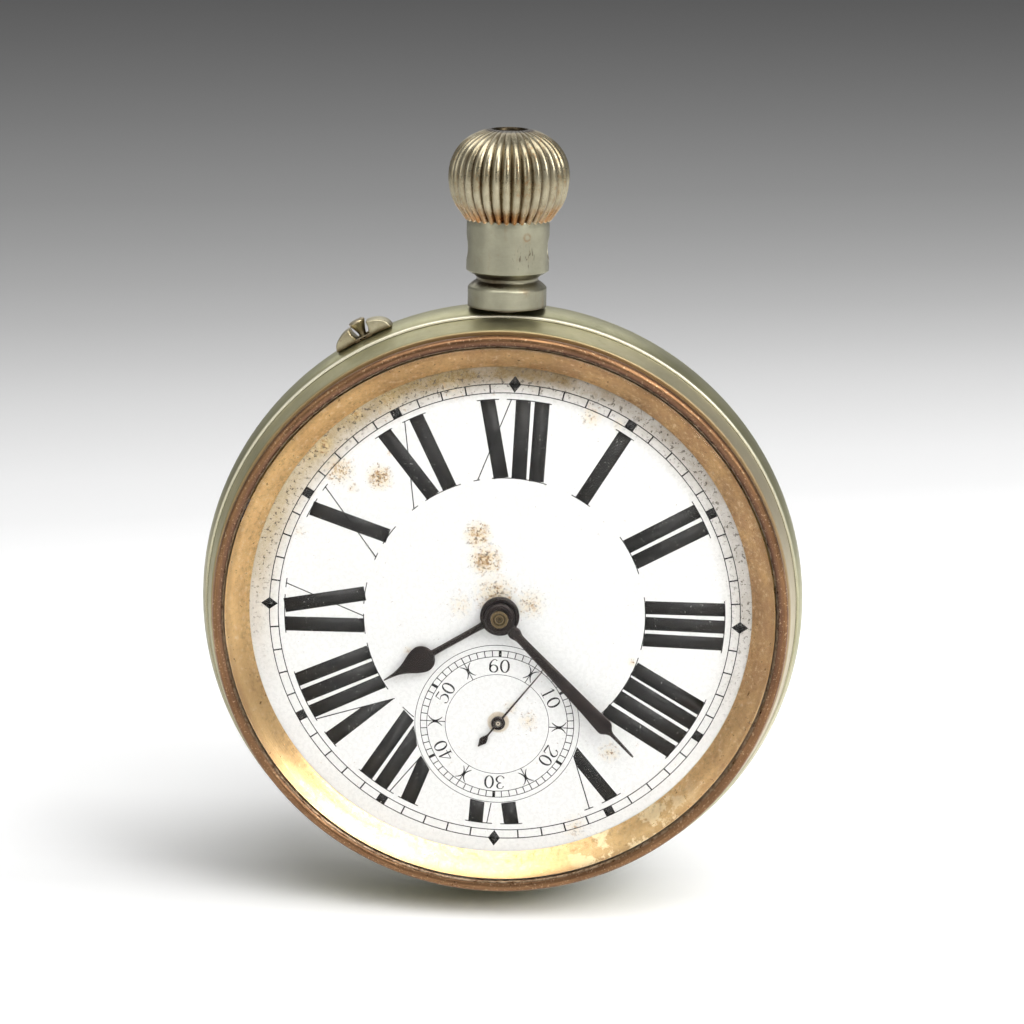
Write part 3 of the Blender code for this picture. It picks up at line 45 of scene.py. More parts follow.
# Mesh tools: a piece is a grid of points, a turned profile or a drawn stroke
def smoothed(piece):
    # Every face shaded smooth.
    piece.data.polygons.foreach_set("use_smooth", np.ones(len(piece.data.polygons), bool))
    piece.data.update()
    return piece


def placed(name, data):
    piece = bpy.data.objects.new(name, data)
    bpy.context.scene.collection.objects.link(piece)
    return piece


def meshFrom(name, points, faces):
    # A mesh from points in metres and faces with the same number of corners.
    mesh = bpy.data.meshes.new(name)
    mesh.vertices.add(len(points))
    mesh.vertices.foreach_set("co", np.asarray(points, np.float32).ravel())
    faces = np.asarray(faces, np.int32)
    mesh.loops.add(faces.size)
    mesh.loops.foreach_set("vertex_index", faces.ravel())
    mesh.polygons.add(len(faces))
    mesh.polygons.foreach_set("loop_start", np.arange(0, faces.size, faces.shape[1], dtype=np.int32))
    mesh.update(calc_edges=True)
    mesh.validate()
    return smoothed(placed(name, mesh))


def gridFaces(rows, columns, wrapRows=False, wrapColumns=False):
    # Quads between neighbours of a rows by columns grid, wrapped round where asked.
    r = np.arange(rows if wrapRows else rows - 1)
    c = np.arange(columns if wrapColumns else columns - 1)
    r, c = np.meshgrid(r, c, indexing="ij")
    r2, c2 = (r + 1) % rows, (c + 1) % columns
    return np.stack([r * columns + c, r * columns + c2, r2 * columns + c2, r2 * columns + c],
                    -1).reshape(-1, 4)


def tidied(piece, distance=0.0005 * mm):
    # Merges what meets at a pole and turns every face outwards.
    shape = bmesh.new()
    shape.from_mesh(piece.data)
    bmesh.ops.remove_doubles(shape, verts=shape.verts, dist=distance)
    bmesh.ops.dissolve_degenerate(shape, edges=shape.edges, dist=distance)
    bmesh.ops.recalc_face_normals(shape, faces=shape.faces)
    shape.to_mesh(piece.data)
    shape.free()
    return smoothed(piece)


def gridPiece(name, x, y, z, wrapRows=False):
    # A mesh from three arrays of places in mm: its columns meet round it, and its rows where asked.
    grid = np.stack(np.broadcast_arrays(x, y, z), -1)
    faces = gridFaces(grid.shape[0], grid.shape[1], wrapRows, True)
    return tidied(meshFrom(name, grid.reshape(-1, 3) * mm, faces))


def around(count):
    # Angles in even steps once round.
    return np.linspace(0, 2 * math.pi, count, endpoint=False)


def turned(name, profile, segments, axis="dial"):
    # A closed profile (distance from the axis, height along it, in mm) carried round the hands' axis with its
    # height towards the viewer, or round the pendant's axis with its height up.
    turn = around(segments)
    radius, height = np.asarray(profile, float).T[:, :, None]
    if axis == "dial":
        return gridPiece(name, radius * np.sin(turn), -height, radius * np.cos(turn), True)
    return gridPiece(name, radius * np.cos(turn), radius * np.sin(turn) + stemPlace, height, True)


def rounded(corners, radius, steps=5):
    # A closed polygon in mm with each corner cut to an arc: from one share of the corner's two sides to the
    # other along a quadratic curve. A corner may carry its own radius as a third number.
    corners = [tuple(c) + ((radius,) if len(c) == 2 else ()) for c in corners]
    out = []
    for i, (x, y, r) in enumerate(corners):
        here = np.array([x, y])
        if r <= 0:
            out.append(here)
            continue
        before = np.array(corners[i - 1][:2]) - here
        after = np.array(corners[(i + 1) % len(corners)][:2]) - here
        a, b = np.linalg.norm(before), np.linalg.norm(after)
        start = here + before / a * min(r, 0.45 * a)
        end = here + after / b * min(r, 0.45 * b)
        t = np.linspace(0, 1, steps + 1)[:, None]
        out.extend((1 - t) ** 2 * start + 2 * t * (1 - t) * here + t ** 2 * end)
    return np.array(out)


def subdivided(profile, longest):
    # The same closed line with no stretch longer than asked, so that the grid has points to shade.
    out = []
    for a, b in zip(profile, np.vstack([profile[1:], profile[:1]])):
        n = max(1, int(np.ceil(np.linalg.norm(b - a) / longest)))
        out.extend(a + (b - a) * (np.arange(n) / n)[:, None])
    return np.array(out)


def curveThrough(points, count):
    # A smooth line through the points: each stretch is a Catmull-Rom cubic, sampled evenly.
    p = np.asarray(points, float)
    p = np.vstack([2 * p[0] - p[1], p, 2 * p[-1] - p[-2]])
    t = np.linspace(0, len(p) - 3, count)
    i = np.minimum(t.astype(int), len(p) - 4)
    f = (t - i)[:, None]
    a, b, c, d = p[i], p[i + 1], p[i + 2], p[i + 3]
    square, cube = 2 * a - 5 * b + 4 * c - d, 3 * b - a - 3 * c + d
    return 0.5 * (2 * b + (c - a) * f + square * f ** 2 + cube * f ** 3)


def smoothStep(t):
    # A soft rise from 0 to 1: three times the square less twice the cube.
    t = np.clip(t, 0, 1)
    return t * t * (3 - 2 * t)


def sharpened(piece, angle=40.0):
    # Edges steeper than the angle stay crisp when the piece is shaded smooth.
    piece.data.set_sharp_from_angle(angle=math.radians(angle))
    return piece


def evaluatedMesh(piece):
    # The mesh as it is with its modifiers.
    view = bpy.context.evaluated_depsgraph_get()
    return bpy.data.meshes.new_from_object(piece.evaluated_get(view))


def joined(piece, others, operation="UNION"):
    # The others are added to the piece, or cut from it, and removed.
    for other in others:
        change = piece.modifiers.new(operation, "BOOLEAN")
        change.operation = operation
        change.solver = "EXACT"
        change.object = other
    result = evaluatedMesh(piece)
    piece.modifiers.clear()
    piece.data = result
    for other in others:
        bpy.data.objects.remove(other)
    return sharpened(smoothed(piece), 35)


def dressed(piece, material, body, nodes=()):
    # The piece with its look, the nodes it replaces, its slot and the body it rides on.
    piece.data.materials.clear()
    piece.data.materials.append(material)
    if nodes:
        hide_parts(*nodes)
    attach(piece, body)
    return piece


# Material tools: what takes a socket works in that socket's own node tree
def wire(socket, value):
    # A link where the value comes from a node, and a plain value otherwise.
    if isinstance(value, bpy.types.NodeSocket):
        socket.id_data.links.new(value, socket)
    elif socket.type == "RGBA" and len(value) == 3:
        socket.default_value = (*value, 1)
    else:
        socket.default_value = value


def node(tree, kind, settings=None, *numbered, **named):
    # A shader node with its settings and inputs: numbered ones as (index, value), named ones by socket name.
    made = tree.nodes.new("ShaderNode" + kind)
    for key, value in (settings or {}).items():
        setattr(made, key, value)
    for index, value in numbered:
        wire(made.inputs[index], value)
    for key, value in named.items():
        wire(made.inputs[key.replace("_", " ")], value)
    return made


def maths(operation, first, second, clamp=False):
    tree = next(value.id_data for value in (first, second) if isinstance(value, bpy.types.NodeSocket))
    made = node(tree, "Math", {"operation": operation, "use_clamp": clamp}, (0, first), (1, second))
    return made.outputs[0]


def times(first, *others, clamp=False):
    for other in others:
        first = maths("MULTIPLY", first, other, clamp)
    return first


def plus(first, second, clamp=False):
    return maths("ADD", first, second, clamp)


def minus(first, second, clamp=False):
    return maths("SUBTRACT", first, second, clamp)


def larger(first, second):
    return maths("MAXIMUM", first, second)


def spread(value, low, high, start=0.0, end=1.0):
    # The value brought from one range to another, and held inside it.
    limits = (1, low), (2, high), (3, start), (4, end)
    return node(value.id_data, "MapRange", {}, (0, value), *limits).outputs[0]


def spreadMm(value, low, high, start=0.0, end=1.0):
    return spread(value, low * mm, high * mm, start, end)


def mixed(factor, first, second):
    # From the first colour to the second by the factor.
    made = node(factor.id_data, "Mix", {"data_type": "RGBA"}, (0, factor), (6, first), (7, second))
    return made.outputs[2]


def noiseAt(place, scale, detail, rough=0.5):
    made = node(place.id_data, "TexNoise", {}, Vector=place, Scale=scale, Detail=detail, Roughness=rough)
    return made.outputs["Fac"]


def grains(place, scale, low, high, detail=2.0):
    # Grains of a noise: nothing under the low value, full over the high one.
    return spread(noiseAt(place, scale, detail, 0.6), low, high)


def apart(place):
    return node(place.id_data, "SeparateXYZ", Vector=place).outputs


def stretched(place, scale, turn=(0.0, 0.0, 0.0)):
    return node(place.id_data, "Mapping", {}, Vector=place, Rotation=turn, Scale=scale).outputs[0]


def distance(place, spot):
    # How far the place is from a spot given in mm.
    spot = tuple(c * mm for c in spot)
    made = node(place.id_data, "VectorMath", {"operation": "DISTANCE"}, (0, place), (1, spot))
    return made.outputs["Value"]


def nearSpot(place, spot, reach):
    # One at a spot given in mm, falling to nothing at the reach.
    return spreadMm(distance(place, spot), reach, 0.0)


def dialPolar(place):
    # The distance from the hands' axis, and the place along x and z.
    split = apart(place)
    flat = node(place.id_data, "CombineXYZ", X=split["X"], Z=split["Z"])
    radius = node(place.id_data, "VectorMath", {"operation": "LENGTH"}, (0, flat.outputs[0]))
    return radius.outputs["Value"], split["X"], split["Z"]


def bumped(shader, height, strength, depth):
    # The shader's normal follows a height, with its depth in mm.
    bump = node(height.id_data, "Bump", {}, Strength=strength, Distance=depth * mm, Height=height)
    wire(shader.inputs["Normal"], bump.outputs["Normal"])


def ramp(made, stops):
    # Grey levels at places from 0 to 1.
    line = made.color_ramp
    while len(line.elements) > 1:
        line.elements.remove(line.elements[-1])
    for index, (place, level) in enumerate(stops):
        stop = line.elements[0] if index == 0 else line.elements.new(place)
        stop.position = place
        stop.color = (level, level, level, 1)


def newMaterial(name, colour, metallic, roughness):
    # The material with its node tree, its shader and the place on the piece.
    material = bpy.data.materials.new(name)
    material.use_nodes = True
    tree = material.node_tree
    shader = tree.nodes["Principled BSDF"]
    wire(shader.inputs["Base Color"], colour)
    wire(shader.inputs["Metallic"], metallic)
    wire(shader.inputs["Roughness"], roughness)
    return material, tree, shader, node(tree, "TexCoord").outputs["Object"]


def newGroup(name, inputs, outputs):
    # An empty node group with its inputs as (label, kind, value), and what goes in and out of it.
    tree = bpy.data.node_groups.new(name, "ShaderNodeTree")
    for label, kind, value in inputs:
        socket = tree.interface.new_socket(label, in_out="INPUT", socket_type="NodeSocket" + kind)
        if value is not None:
            socket.default_value = value
    for label in outputs:
        tree.interface.new_socket(label, in_out="OUTPUT", socket_type="NodeSocketFloat")
    return tree, tree.nodes.new("NodeGroupInput").outputs, tree.nodes.new("NodeGroupOutput").inputs


def makeEdgeWearAndSheen():
    # Edge: how far a rounded normal departs from the true one. Hollow: how much the piece shades itself.
    tree, given, out = newGroup("edgeWearAndSheen", [("Radius", "Float", 0.0002), ("Reach", "Float", 0.001)],
                                ["Edge", "Hollow"])
    # Edge serves both for worn edges and for painted highlights along them
    bevel = node(tree, "Bevel", {"samples": 6}, Radius=given["Radius"])
    truth = node(tree, "NewGeometry")
    along = node(tree, "VectorMath", {"operation": "DOT_PRODUCT"}, (0, bevel.outputs[0]),
                 (1, truth.outputs["Normal"]))
    edge = spread(along.outputs["Value"], 0.995, 0.86)
    shade = node(tree, "AmbientOcclusion", {"samples": 8, "only_local": True}, Distance=given["Reach"])
    hollow = spread(shade.outputs["AO"], 0.95, 0.35)
    edge = times(edge, spread(hollow, 0.0, 0.5, 1.0, 0.0))
    wire(out["Edge"], edge)
    wire(out["Hollow"], hollow)
    return tree


def makeMottle():
    # Broad: clouds of tarnish. Fine: grain. Speck: small spots where a third noise passes its threshold.
    tree, given, out = newGroup("mottle", [("Place", "Vector", None), ("Scale", "Float", 300.0),
                                           ("Specks", "Float", 0.3)], ["Broad", "Fine", "Speck"])
    place, scale = given["Place"], given["Scale"]
    wire(out["Broad"], spread(noiseAt(place, scale, 5.0, 0.6), 0.34, 0.66))
    wire(out["Fine"], spread(noiseAt(place, times(scale, 9.0), 4.0, 0.65), 0.3, 0.7))
    over = minus(noiseAt(place, times(scale, 4.0), 6.0, 0.7), minus(0.78, times(given["Specks"], 0.3)))
    wire(out["Speck"], times(over, 22.0, clamp=True))
    return tree


def makeTurnedLines():
    # Fine rings round the hands' axis: noise read at the distance from it, a little broken along the ring.
    tree, given, out = newGroup("turnedLines", [("Place", "Vector", None), ("Pitch", "Float", 12000.0)],
                                ["Line"])
    split = apart(given["Place"])
    square = plus(times(split["X"], split["X"]), times(split["Z"], split["Z"]))
    radius = maths("SQRT", square, 0.0)
    angle = maths("ARCTAN2", split["X"], split["Z"])
    pitch = given["Pitch"]
    spot = node(tree, "CombineXYZ", {}, X=times(radius, pitch), Y=times(split["Y"], pitch),
                Z=times(angle, 6.0))
    wire(out["Line"], grains(spot.outputs[0], 1.0, 0.3, 0.7, 3.0))
    return tree


edgeWearAndSheen = makeEdgeWearAndSheen()
mottle = makeMottle()
turnedLines = makeTurnedLines()


plainMetal = {
    # what a finish has where it doesn't say: edge and reach are in mm, most others are shares
    "metallic": 1.0, "grain": 160.0, "specks": 0.3, "edge": 0.15, "reach": 0.8, "pitch": 9000.0,
    "lineTint": 0.25, "hollow": 0.8, "edgeRubAndShine": 0.8, "rusty": 0.8, "lineBump": 0.3, "grainBump": 0.5,
    "bump": 0.35,
}


def metalFinish(name, own):
    # Clouds between two shades, dirt in the hollows, bright edges that are worn and also a painted highlight,
    # specks of rust, and a fine bump.
    v = {**plainMetal, **own}
    material, tree, shader, place = newMaterial(name, v["base"], v["metallic"], v["rough"][0])
    spots = node(tree, "Group", {"node_tree": mottle}, Place=place, Scale=v["grain"],
                 Specks=v["specks"]).outputs
    wearAndSheen = node(tree, "Group", {"node_tree": edgeWearAndSheen}, Radius=v["edge"] * mm,
                Reach=v["reach"] * mm).outputs
    lines = node(tree, "Group", {"node_tree": turnedLines}, Place=place, Pitch=v["pitch"]).outputs
    colour = mixed(spots["Broad"], v["base"], v["shade"])
    colour = mixed(times(lines["Line"], v["lineTint"]), colour, v["dirt"])
    if "extra" in v:
        colour = v["extra"](place, spots, colour)
    colour = mixed(times(wearAndSheen["Hollow"], v["hollow"]), colour, v["dirt"])
    # bright edges: worn metal and a painted highlight, the line where edges catch the light
    rubbedAndLitEdge = times(wearAndSheen["Edge"], spread(spots["Fine"], 0.0, 0.7, 0.45, 1.0))
    colour = mixed(times(rubbedAndLitEdge, v["edgeRubAndShine"]), colour, v["bright"])
    colour = mixed(times(spots["Speck"], v["rusty"]), colour, v["rust"])
    if "late" in v:
        colour = v["late"](place, spots, colour)
    wire(shader.inputs["Base Color"], colour)
    rough = spread(spots["Fine"], 0.0, 1.0, v["rough"][0], v["rough"][1])
    rough = plus(rough, times(spots["Speck"], 0.25), clamp=True)
    wire(shader.inputs["Roughness"], rough)
    metal = minus(v["metallic"], times(spots["Speck"], 0.6), clamp=True)
    wire(shader.inputs["Metallic"], metal)
    height = plus(times(lines["Line"], v["lineBump"]), times(spots["Fine"], v["grainBump"]))
    bumped(shader, minus(height, times(spots["Speck"], 0.8)), v["bump"], 0.03)
    return material


def crystalGlass():
    # Thin clear glass with faint smears.
    material, _, shader, place = newMaterial("crystalClear", (1, 1, 1), 0.0, 0.0)
    shader.inputs["Transmission Weight"].default_value = 1.0
    shader.inputs["IOR"].default_value = 1.15
    wire(shader.inputs["Roughness"], spread(noiseAt(place, 90.0, 4.0), 0.5, 0.8, 0.0, 0.03))
    return material


# Case: band, bezel, crystal's rim, crystal and flange, all turned round the hands' axis
case = {
    "segments": 288,
    "pinTurn": 27.6,                    # the setting pin's place, degrees left of 12
    "pinBore": (0.62, 33.4, 30.0),      # radius, start and end along the pin
    "spigotBore": (2.13, 29.0, 34.0),   # and along the stem
    "knuckle": (0.9, 0.45, 3.0),        # hinge knuckle's radius, bore and length
    "web": (0.62, 1.75),                # its web's start and end above the hinge axis
    "hinge": (33.05, 4.7),              # hinge axis below the centre, and its height from the back
}
bandLine = [
    (31.9, 4.8, 0.15), (32.22, 6.2, 1.2), (32.44, 7.8, 1.2), (32.5, 9.5, 1.4), (32.36, 11.1, 0.9),
    (32.08, 12.15, 0.3), (31.86, 12.62, 0.08), (31.63, 12.6, 0.02), (31.62, 12.2, 0.05),
    (31.15, 12.2, 0.05), (31.15, 13.38, 0.1), (30.25, 13.38, 0.1), (30.25, 8.7, 0.05), (29.45, 8.7, 0.1),
    (29.45, 8.1, 0.1), (31.0, 8.1, 0.05), (31.0, 4.8, 0.1),
]
bezelLine = [
    (29.4, 15.9, 0.05), (30.75, 15.9, 0.08), (30.9, 15.7, 0.15), (31.32, 13.9, 1.0), (31.58, 12.9, 0.2),
    (31.6, 12.6, 0.06), (31.3, 12.56, 0.05), (31.3, 13.5, 0.1), (29.4, 13.5, 0.1),
]
crystalRimLine = [(29.32, 16.85, 0.1)] + [
    (29.93 + 0.62 * math.cos(math.radians(a)), 17.0 + 0.62 * math.sin(math.radians(a)), 0.0)
    for a in range(165, -50, -12)
] + [(30.42, 15.95, 0.05), (29.32, 15.95, 0.05)]
flangeLine = [(29.15, 16.9, 0.05), (28.9, 16.72, 0.2), (28.0, 15.95, 1.5), (27.1, 14.98, 0.5),
              (26.79, 14.68, 0.05), (27.6, 14.66, 0.05), (29.15, 16.2, 0.1)]
caseRings = {
    # name: side line, its corners' radius and the longest stretch in it
    "caseBandSmooth": (bandLine, 0.1, 0.25), "bezelSmooth": (bezelLine, 0.1, 0.25),
    "crystalRimSmooth": (crystalRimLine, 0.05, 0.15), "dialFlangeSmooth": (flangeLine, 0.1, 0.2),
}
crystal = {"rim": 29.15, "outer": (17.6, 1.35), "inner": (17.1, 1.05)}    # foot and rise of both sides
dishes = {
    # flat middle's radius, reach of the curve beyond it, wall, height of the rim's edge, depth below it
    "backCoverSmooth": {"flat": 21.0, "reach": 10.9, "wall": 0.65, "edge": 4.6, "deep": 4.6, "steps": 36,
                        "segments": 288},
    "dustCoverSmooth": {"flat": 21.0, "reach": 9.8, "wall": 0.5, "edge": 4.8, "deep": 3.5, "steps": 30,
                        "segments": 192, "top": 7.9},
}


def makeCaseRing(name):
    # A side line turned round the hands' axis.
    line, radius, longest = caseRings[name]
    return turned(name, subdivided(rounded(line, radius), longest), case["segments"])


def boreLine(radius, start, end):
    # Half the outline of a round bar, to be turned round its axis.
    return np.array([(0.0, start), (radius, start), (radius, end), (0.0, end)])


def makeBand():
    # The side line turned, with bores for the setting pin and the pendant's spigot.
    pinBore = alongPin("pinBore", boreLine(*case["pinBore"]))
    spigotBore = turned("spigotBore", boreLine(*case["spigotBore"]), 64, "pendant")
    return joined(makeCaseRing("caseBandSmooth"), [pinBore, spigotBore], "DIFFERENCE")


def makeCrystal():
    # A dome of even wall: the height is the rise times the sine of a quarter turn, from rim to middle.
    t = np.linspace(0, math.pi / 2, 40)
    reach = crystal["rim"] * np.cos(t)
    reach[-1] = 0.0
    outer, inner = (np.stack([reach, foot + rise * np.sin(t)], 1)
                    for foot, rise in (crystal["outer"], crystal["inner"]))
    return turned("crystalSmooth", np.vstack([outer, inner[::-1]]), case["segments"])


def makeDish(name):
    # A shallow dish: flat middle, then a quarter of an ellipse out to the edge, and a plain rim above it
    # where the dish has a top.
    d = dishes[name]
    t = np.linspace(0, math.pi / 2, d["steps"])

    def side(wall):
        return np.stack([d["flat"] + (d["reach"] - wall) * np.sin(t),
                         d["edge"] - (d["deep"] - wall) * np.cos(t)], 1)

    low, rim = d["edge"] - d["deep"], d["flat"] + d["reach"]
    parts = [[(0.0, low + d["wall"]), (10.0, low + d["wall"])], side(d["wall"])]
    if "top" in d:
        parts.append([(rim - d["wall"], d["top"]), (rim, d["top"])])
    line = np.vstack(parts + [side(0.0)[::-1], [(10.0, low), (0.0, low)]])
    return sharpened(turned(name, line, d["segments"]))


def tube(name, radius, bore, start, end, place, segments=48):
    # A bored round bar along x, at a height and depth, with its ends' edges rounded.
    line = rounded([(bore, start), (radius, start), (radius, end), (bore, end)], 0.12, steps=4)
    turn = around(segments)
    reach, along = line.T[:, :, None]
    return gridPiece(name, along, place[0] + reach * np.cos(turn), place[1] + reach * np.sin(turn), True)


def capped(name, grid):
    # A closed piece from rows of points in mm: both end rows are drawn together to a point.
    ends = [np.repeat(row.mean(0)[None, None], grid.shape[1], 1) for row in (grid[0], grid[-1])]
    return gridPiece(name, *np.moveaxis(np.concatenate([ends[0], grid, ends[1]]), -1, 0))


def slab(name, x, y, z):
    # A plain block between two limits on each axis, used inside a joined piece only.
    corners = np.array([(a, b, c) for a in x for b in y for c in z]) * mm
    faces = [(0, 1, 3, 2), (4, 6, 7, 5), (0, 4, 5, 1), (2, 3, 7, 6), (0, 2, 6, 4), (1, 5, 7, 3)]
    return tidied(meshFrom(name, corners, faces))


def hingeKnuckle(name, middle, web):
    # A bored knuckle with a web that reaches the rim beside it.
    radius, bore, length = case["knuckle"]
    below, height = case["hinge"]
    start, end = case["web"]
    half = length / 2
    knuckle = tube(name, radius, bore, middle - half, middle + half, (-height, -below))
    strip = slab(name + "Web", (middle - half + 0.1, middle + half - 0.1), web,
                 (-below + start, -below + end))
    return joined(knuckle, [strip])


# Pendant, crown, guard and pin
pendantLine = [
    (4.3, 41.86, 0.12), (4.36, 41.2, 0.05), (4.36, 36.36, 0.05), (3.3, 35.68, 0.1), (3.24, 35.3, 0.12),
    (3.7, 34.98, 0.12), (4.06, 34.66, 0.04), (4.16, 34.5, 0.04), (4.16, 32.54, 0.06), (2.1, 32.54, 0.05),
    (2.1, 30.4, 0.05), (1.6, 30.4, 0.05), (1.6, 41.86, 0.1),
]
bowSeat = (1.33, 4.36, 0.3, 38.7)   # radius, distance from the stem, depth and height of the bow's seats
crownShape = {
    "foot": 41.58, "height": 9.52, "ribs": 34, "turn": -90.5, "depth": 0.46, "scallop": 0.4,
    "power": 0.8,       # of the cosine that rounds each rib
    # reach, and height above the foot or below the top
    "hollow": [(0.0, 0.9), (1.0, 0.9), (1.0, 0.6)],
    "disc": [(1.93, -0.03), (1.86, -0.12), (1.8, -0.3), (1.5, -0.34), (0.0, -0.3)],
    # share of the height, and the ribs' reach
    "side": [(0.02, 4.62), (0.07, 4.95), (0.115, 5.27), (0.16, 5.57), (0.2, 5.78), (0.26, 6.02),
             (0.33, 6.2), (0.41, 6.32), (0.49, 6.36), (0.565, 6.3), (0.635, 6.17), (0.7, 5.95),
             (0.765, 5.63), (0.825, 5.2), (0.87, 4.76), (0.91, 4.25), (0.946, 3.65), (0.975, 3.0),
             (0.992, 2.4), (1.0, 2.0)],
}


def makeNeck():
    # The side line turned round the stem; the two seats of the bow are bored into its sides.
    neck = turned("pendantSmooth", subdivided(rounded(pendantLine, 0.1), 0.15), 160, "pendant")
    radius, reach, depth, height = bowSeat
    seats = [tube("bowSeat", radius, 0.0, side * reach - depth, side * reach + depth, (stemPlace, height))
             for side in (-1, 1)]
    return joined(sharpened(neck), seats, "DIFFERENCE")


def makeCrown():
    # Side line less grooves: a rib's crest follows the cosine's size to a power, round with a narrow groove
    # between, and it ends at the flat top. The foot's edge is lifted in the grooves, so it is scalloped.
    s = crownShape
    side = curveThrough(s["side"], 110)
    share, reach = side[:, 0], side[:, 1]
    count = s["ribs"] * 16
    turn = around(count)
    groove = 1.0 - np.abs(np.cos((turn - math.radians(s["turn"])) * s["ribs"] / 2)) ** s["power"]
    fade = smoothStep((1.01 - share) / 0.02)
    radius = reach[:, None] - s["depth"] * ((reach / 6.38) ** 0.7 * fade)[:, None] * groove[None, :]
    lift = s["scallop"] * groove
    height = (s["foot"] + s["height"] * share)[:, None] + lift * smoothStep((0.2 - share) / 0.18)[:, None]

    def ringAt(r, h):
        return np.full(count, r), np.full(count, h)

    top, foot = s["foot"] + s["height"], s["foot"]
    inside = 0.965 * radius[0]
    rows = [ringAt(r, foot + h) for r, h in s["hollow"]]
    rows += [(inside, np.full(count, foot + 0.6)), (inside, foot + 0.02 + lift)]
    under = len(rows)
    rows += list(zip(radius, height))
    rows += [ringAt(r, top + h) for r, h in s["disc"]]
    r = np.array([row[0] for row in rows])
    h = np.array([row[1] for row in rows])
    points = np.stack([r * np.cos(turn), r * np.sin(turn) + stemPlace, h], -1).reshape(-1, 3) * mm
    crown = meshFrom("crownRibbed", points, gridFaces(len(r), count, wrapColumns=True))
    cut = np.zeros((len(r), count), np.float32)
    cut[under:under + len(share)] = groove
    crown.data.attributes.new("groove", "FLOAT", "POINT").data.foreach_set("value", cut.ravel())
    return sharpened(tidied(crown), 50)


guard = {
    "halfWidth": 3.2, "height": 1.5, "depth": 1.2, "foot": 32.5, "slot": 0.98, "slotFoot": 0.62,
    "wedge": 0.92, "web": 0.26, "gap": 0.7,
    # share of the way from the middle to a face, and how much the outline grows there
    "edge": [(-1.0, -0.24), (-0.95, -0.08), (-0.82, 0.0), (0.82, 0.0), (0.95, -0.08), (1.0, -0.24)],
}


def aroundCase(x, y):
    # A point beside the case at the setting pin: x along the rim, y outward from the hands' axis.
    turn = math.radians(case["pinTurn"])
    return x * math.cos(turn) - y * math.sin(turn), x * math.sin(turn) + y * math.cos(turn)


def guardPiece(outline, near, far):
    # An outline beside the case carried from face to face, a little smaller at both, so its edges are round.
    middle = outline.mean(0)
    away = outline - middle
    away /= np.linalg.norm(away, axis=1)[:, None]
    rows = []
    for share, grow in guard["edge"]:
        shape = outline + away * grow
        x, y = shape.T
        wx, wz = aroundCase(x, guard["foot"] + y - x ** 2 / (2 * guard["foot"]))
        wy = stemPlace + (near + far) / 2 + share * (far - near) / 2
        rows.append(np.stack([wx, wy * np.ones_like(wx), wz], -1))
    return capped("guardEar", np.array(rows))


def makeGuard():
    # Two ears, each a quarter of an ellipse with its wedge-shaped side at the pin, and the low webs between
    # them in front of the pin and behind it.
    pieces = []
    slot, deep = guard["slot"], guard["depth"]
    for side in (-1, 1):
        u = np.linspace(0, math.pi / 2, 24)
        outline = np.stack([side * (slot + (guard["halfWidth"] - slot) * np.cos(u)),
                            guard["height"] * np.sin(u) ** 0.9], 1)
        wedge = [(side * slot, guard["wedge"]), (side * guard["slotFoot"], 0.0)]
        pieces.append(guardPiece(np.vstack([outline, wedge]), -deep, deep))
    x = np.linspace(-slot, slot, 8)
    line = np.vstack([np.stack([x, np.full(8, guard["web"])], 1), np.stack([x[::-1], np.full(8, -0.1)], 1)])
    for near, far in ((-deep, -guard["gap"]), (guard["gap"], deep)):
        pieces.append(guardPiece(line, near, far))
    return pieces


setPinLine = [(0.0, 34.5), (0.74, 34.5, 0.1), (0.92, 34.32, 0.1), (0.75, 33.9, 0.3), (0.45, 33.2, 0.3),
              (0.4, 32.9, 0.1), (0.4, 25.9), (0.0, 25.9)]


def makeSetPin():
    # A thin shank with a flared head.
    return sharpened(alongPin("setPinSmooth", rounded(setPinLine, 0.0, steps=4)))


def alongPin(name, line):
    # A profile turned round the line that points at the hands' axis.
    turn = around(40)
    reach, along = line.T[:, :, None]
    wx, wz = aroundCase(reach * np.cos(turn), along)
    return gridPiece(name, wx, stemPlace + reach * np.sin(turn), wz)


# Dial, print and hands
secondsPivot = (0.0, -12.1)     # the seconds hand's axis, across and up
dialPlan = {
    "front": 14.56, "thick": 0.8,
    # the outline and both holes: radius, points and the middle's height
    "loops": [(28.4, 240, 0.0), (1.9, 64, 0.0), (0.6, 32, secondsPivot[1])],
    "turn": 1.6, "centre": (0.44, -0.17),      # the print sits a little off the hands' axis
    "numeral": (15.05, 23.5), "track": (24.19, 25.13),
    "seconds": (-0.14, -12.36), "secondsRings": (8.86, 8.27, 7.58, 5.585),
    "ringHalf": (0.032, 0.038, 0.036, 0.028),
    "secondsClear": 8.98,       # cut numerals end this far from the seconds dial's middle
    "inkHeight": 0.012, "barWidth": 1.57, "thinHalf": 0.055, "fiveHalf": 0.52, "minuteHalf": 0.075,
    "diamond": ((-0.88, 0.0, 0.9), (0.005, 0.66, 0.005)),      # heights and half widths at the quarters
    "trackHalf": 0.048, "serifHalf": 0.052, "secondHalf": 0.046, "tenHalf": 0.15, "needleHalf": 0.045,
    "digits": (6.56, 1.5, 0.78),        # their middle's distance, their height and the width's share of it
    # the bowed lines beside a long mark: gaps at both ends, degrees away from it, half width and its swell
    "bowGaps": (0.35, 0.12), "bowTurn": (0.6, 4.2), "bowHalf": (0.03, 0.045),
}


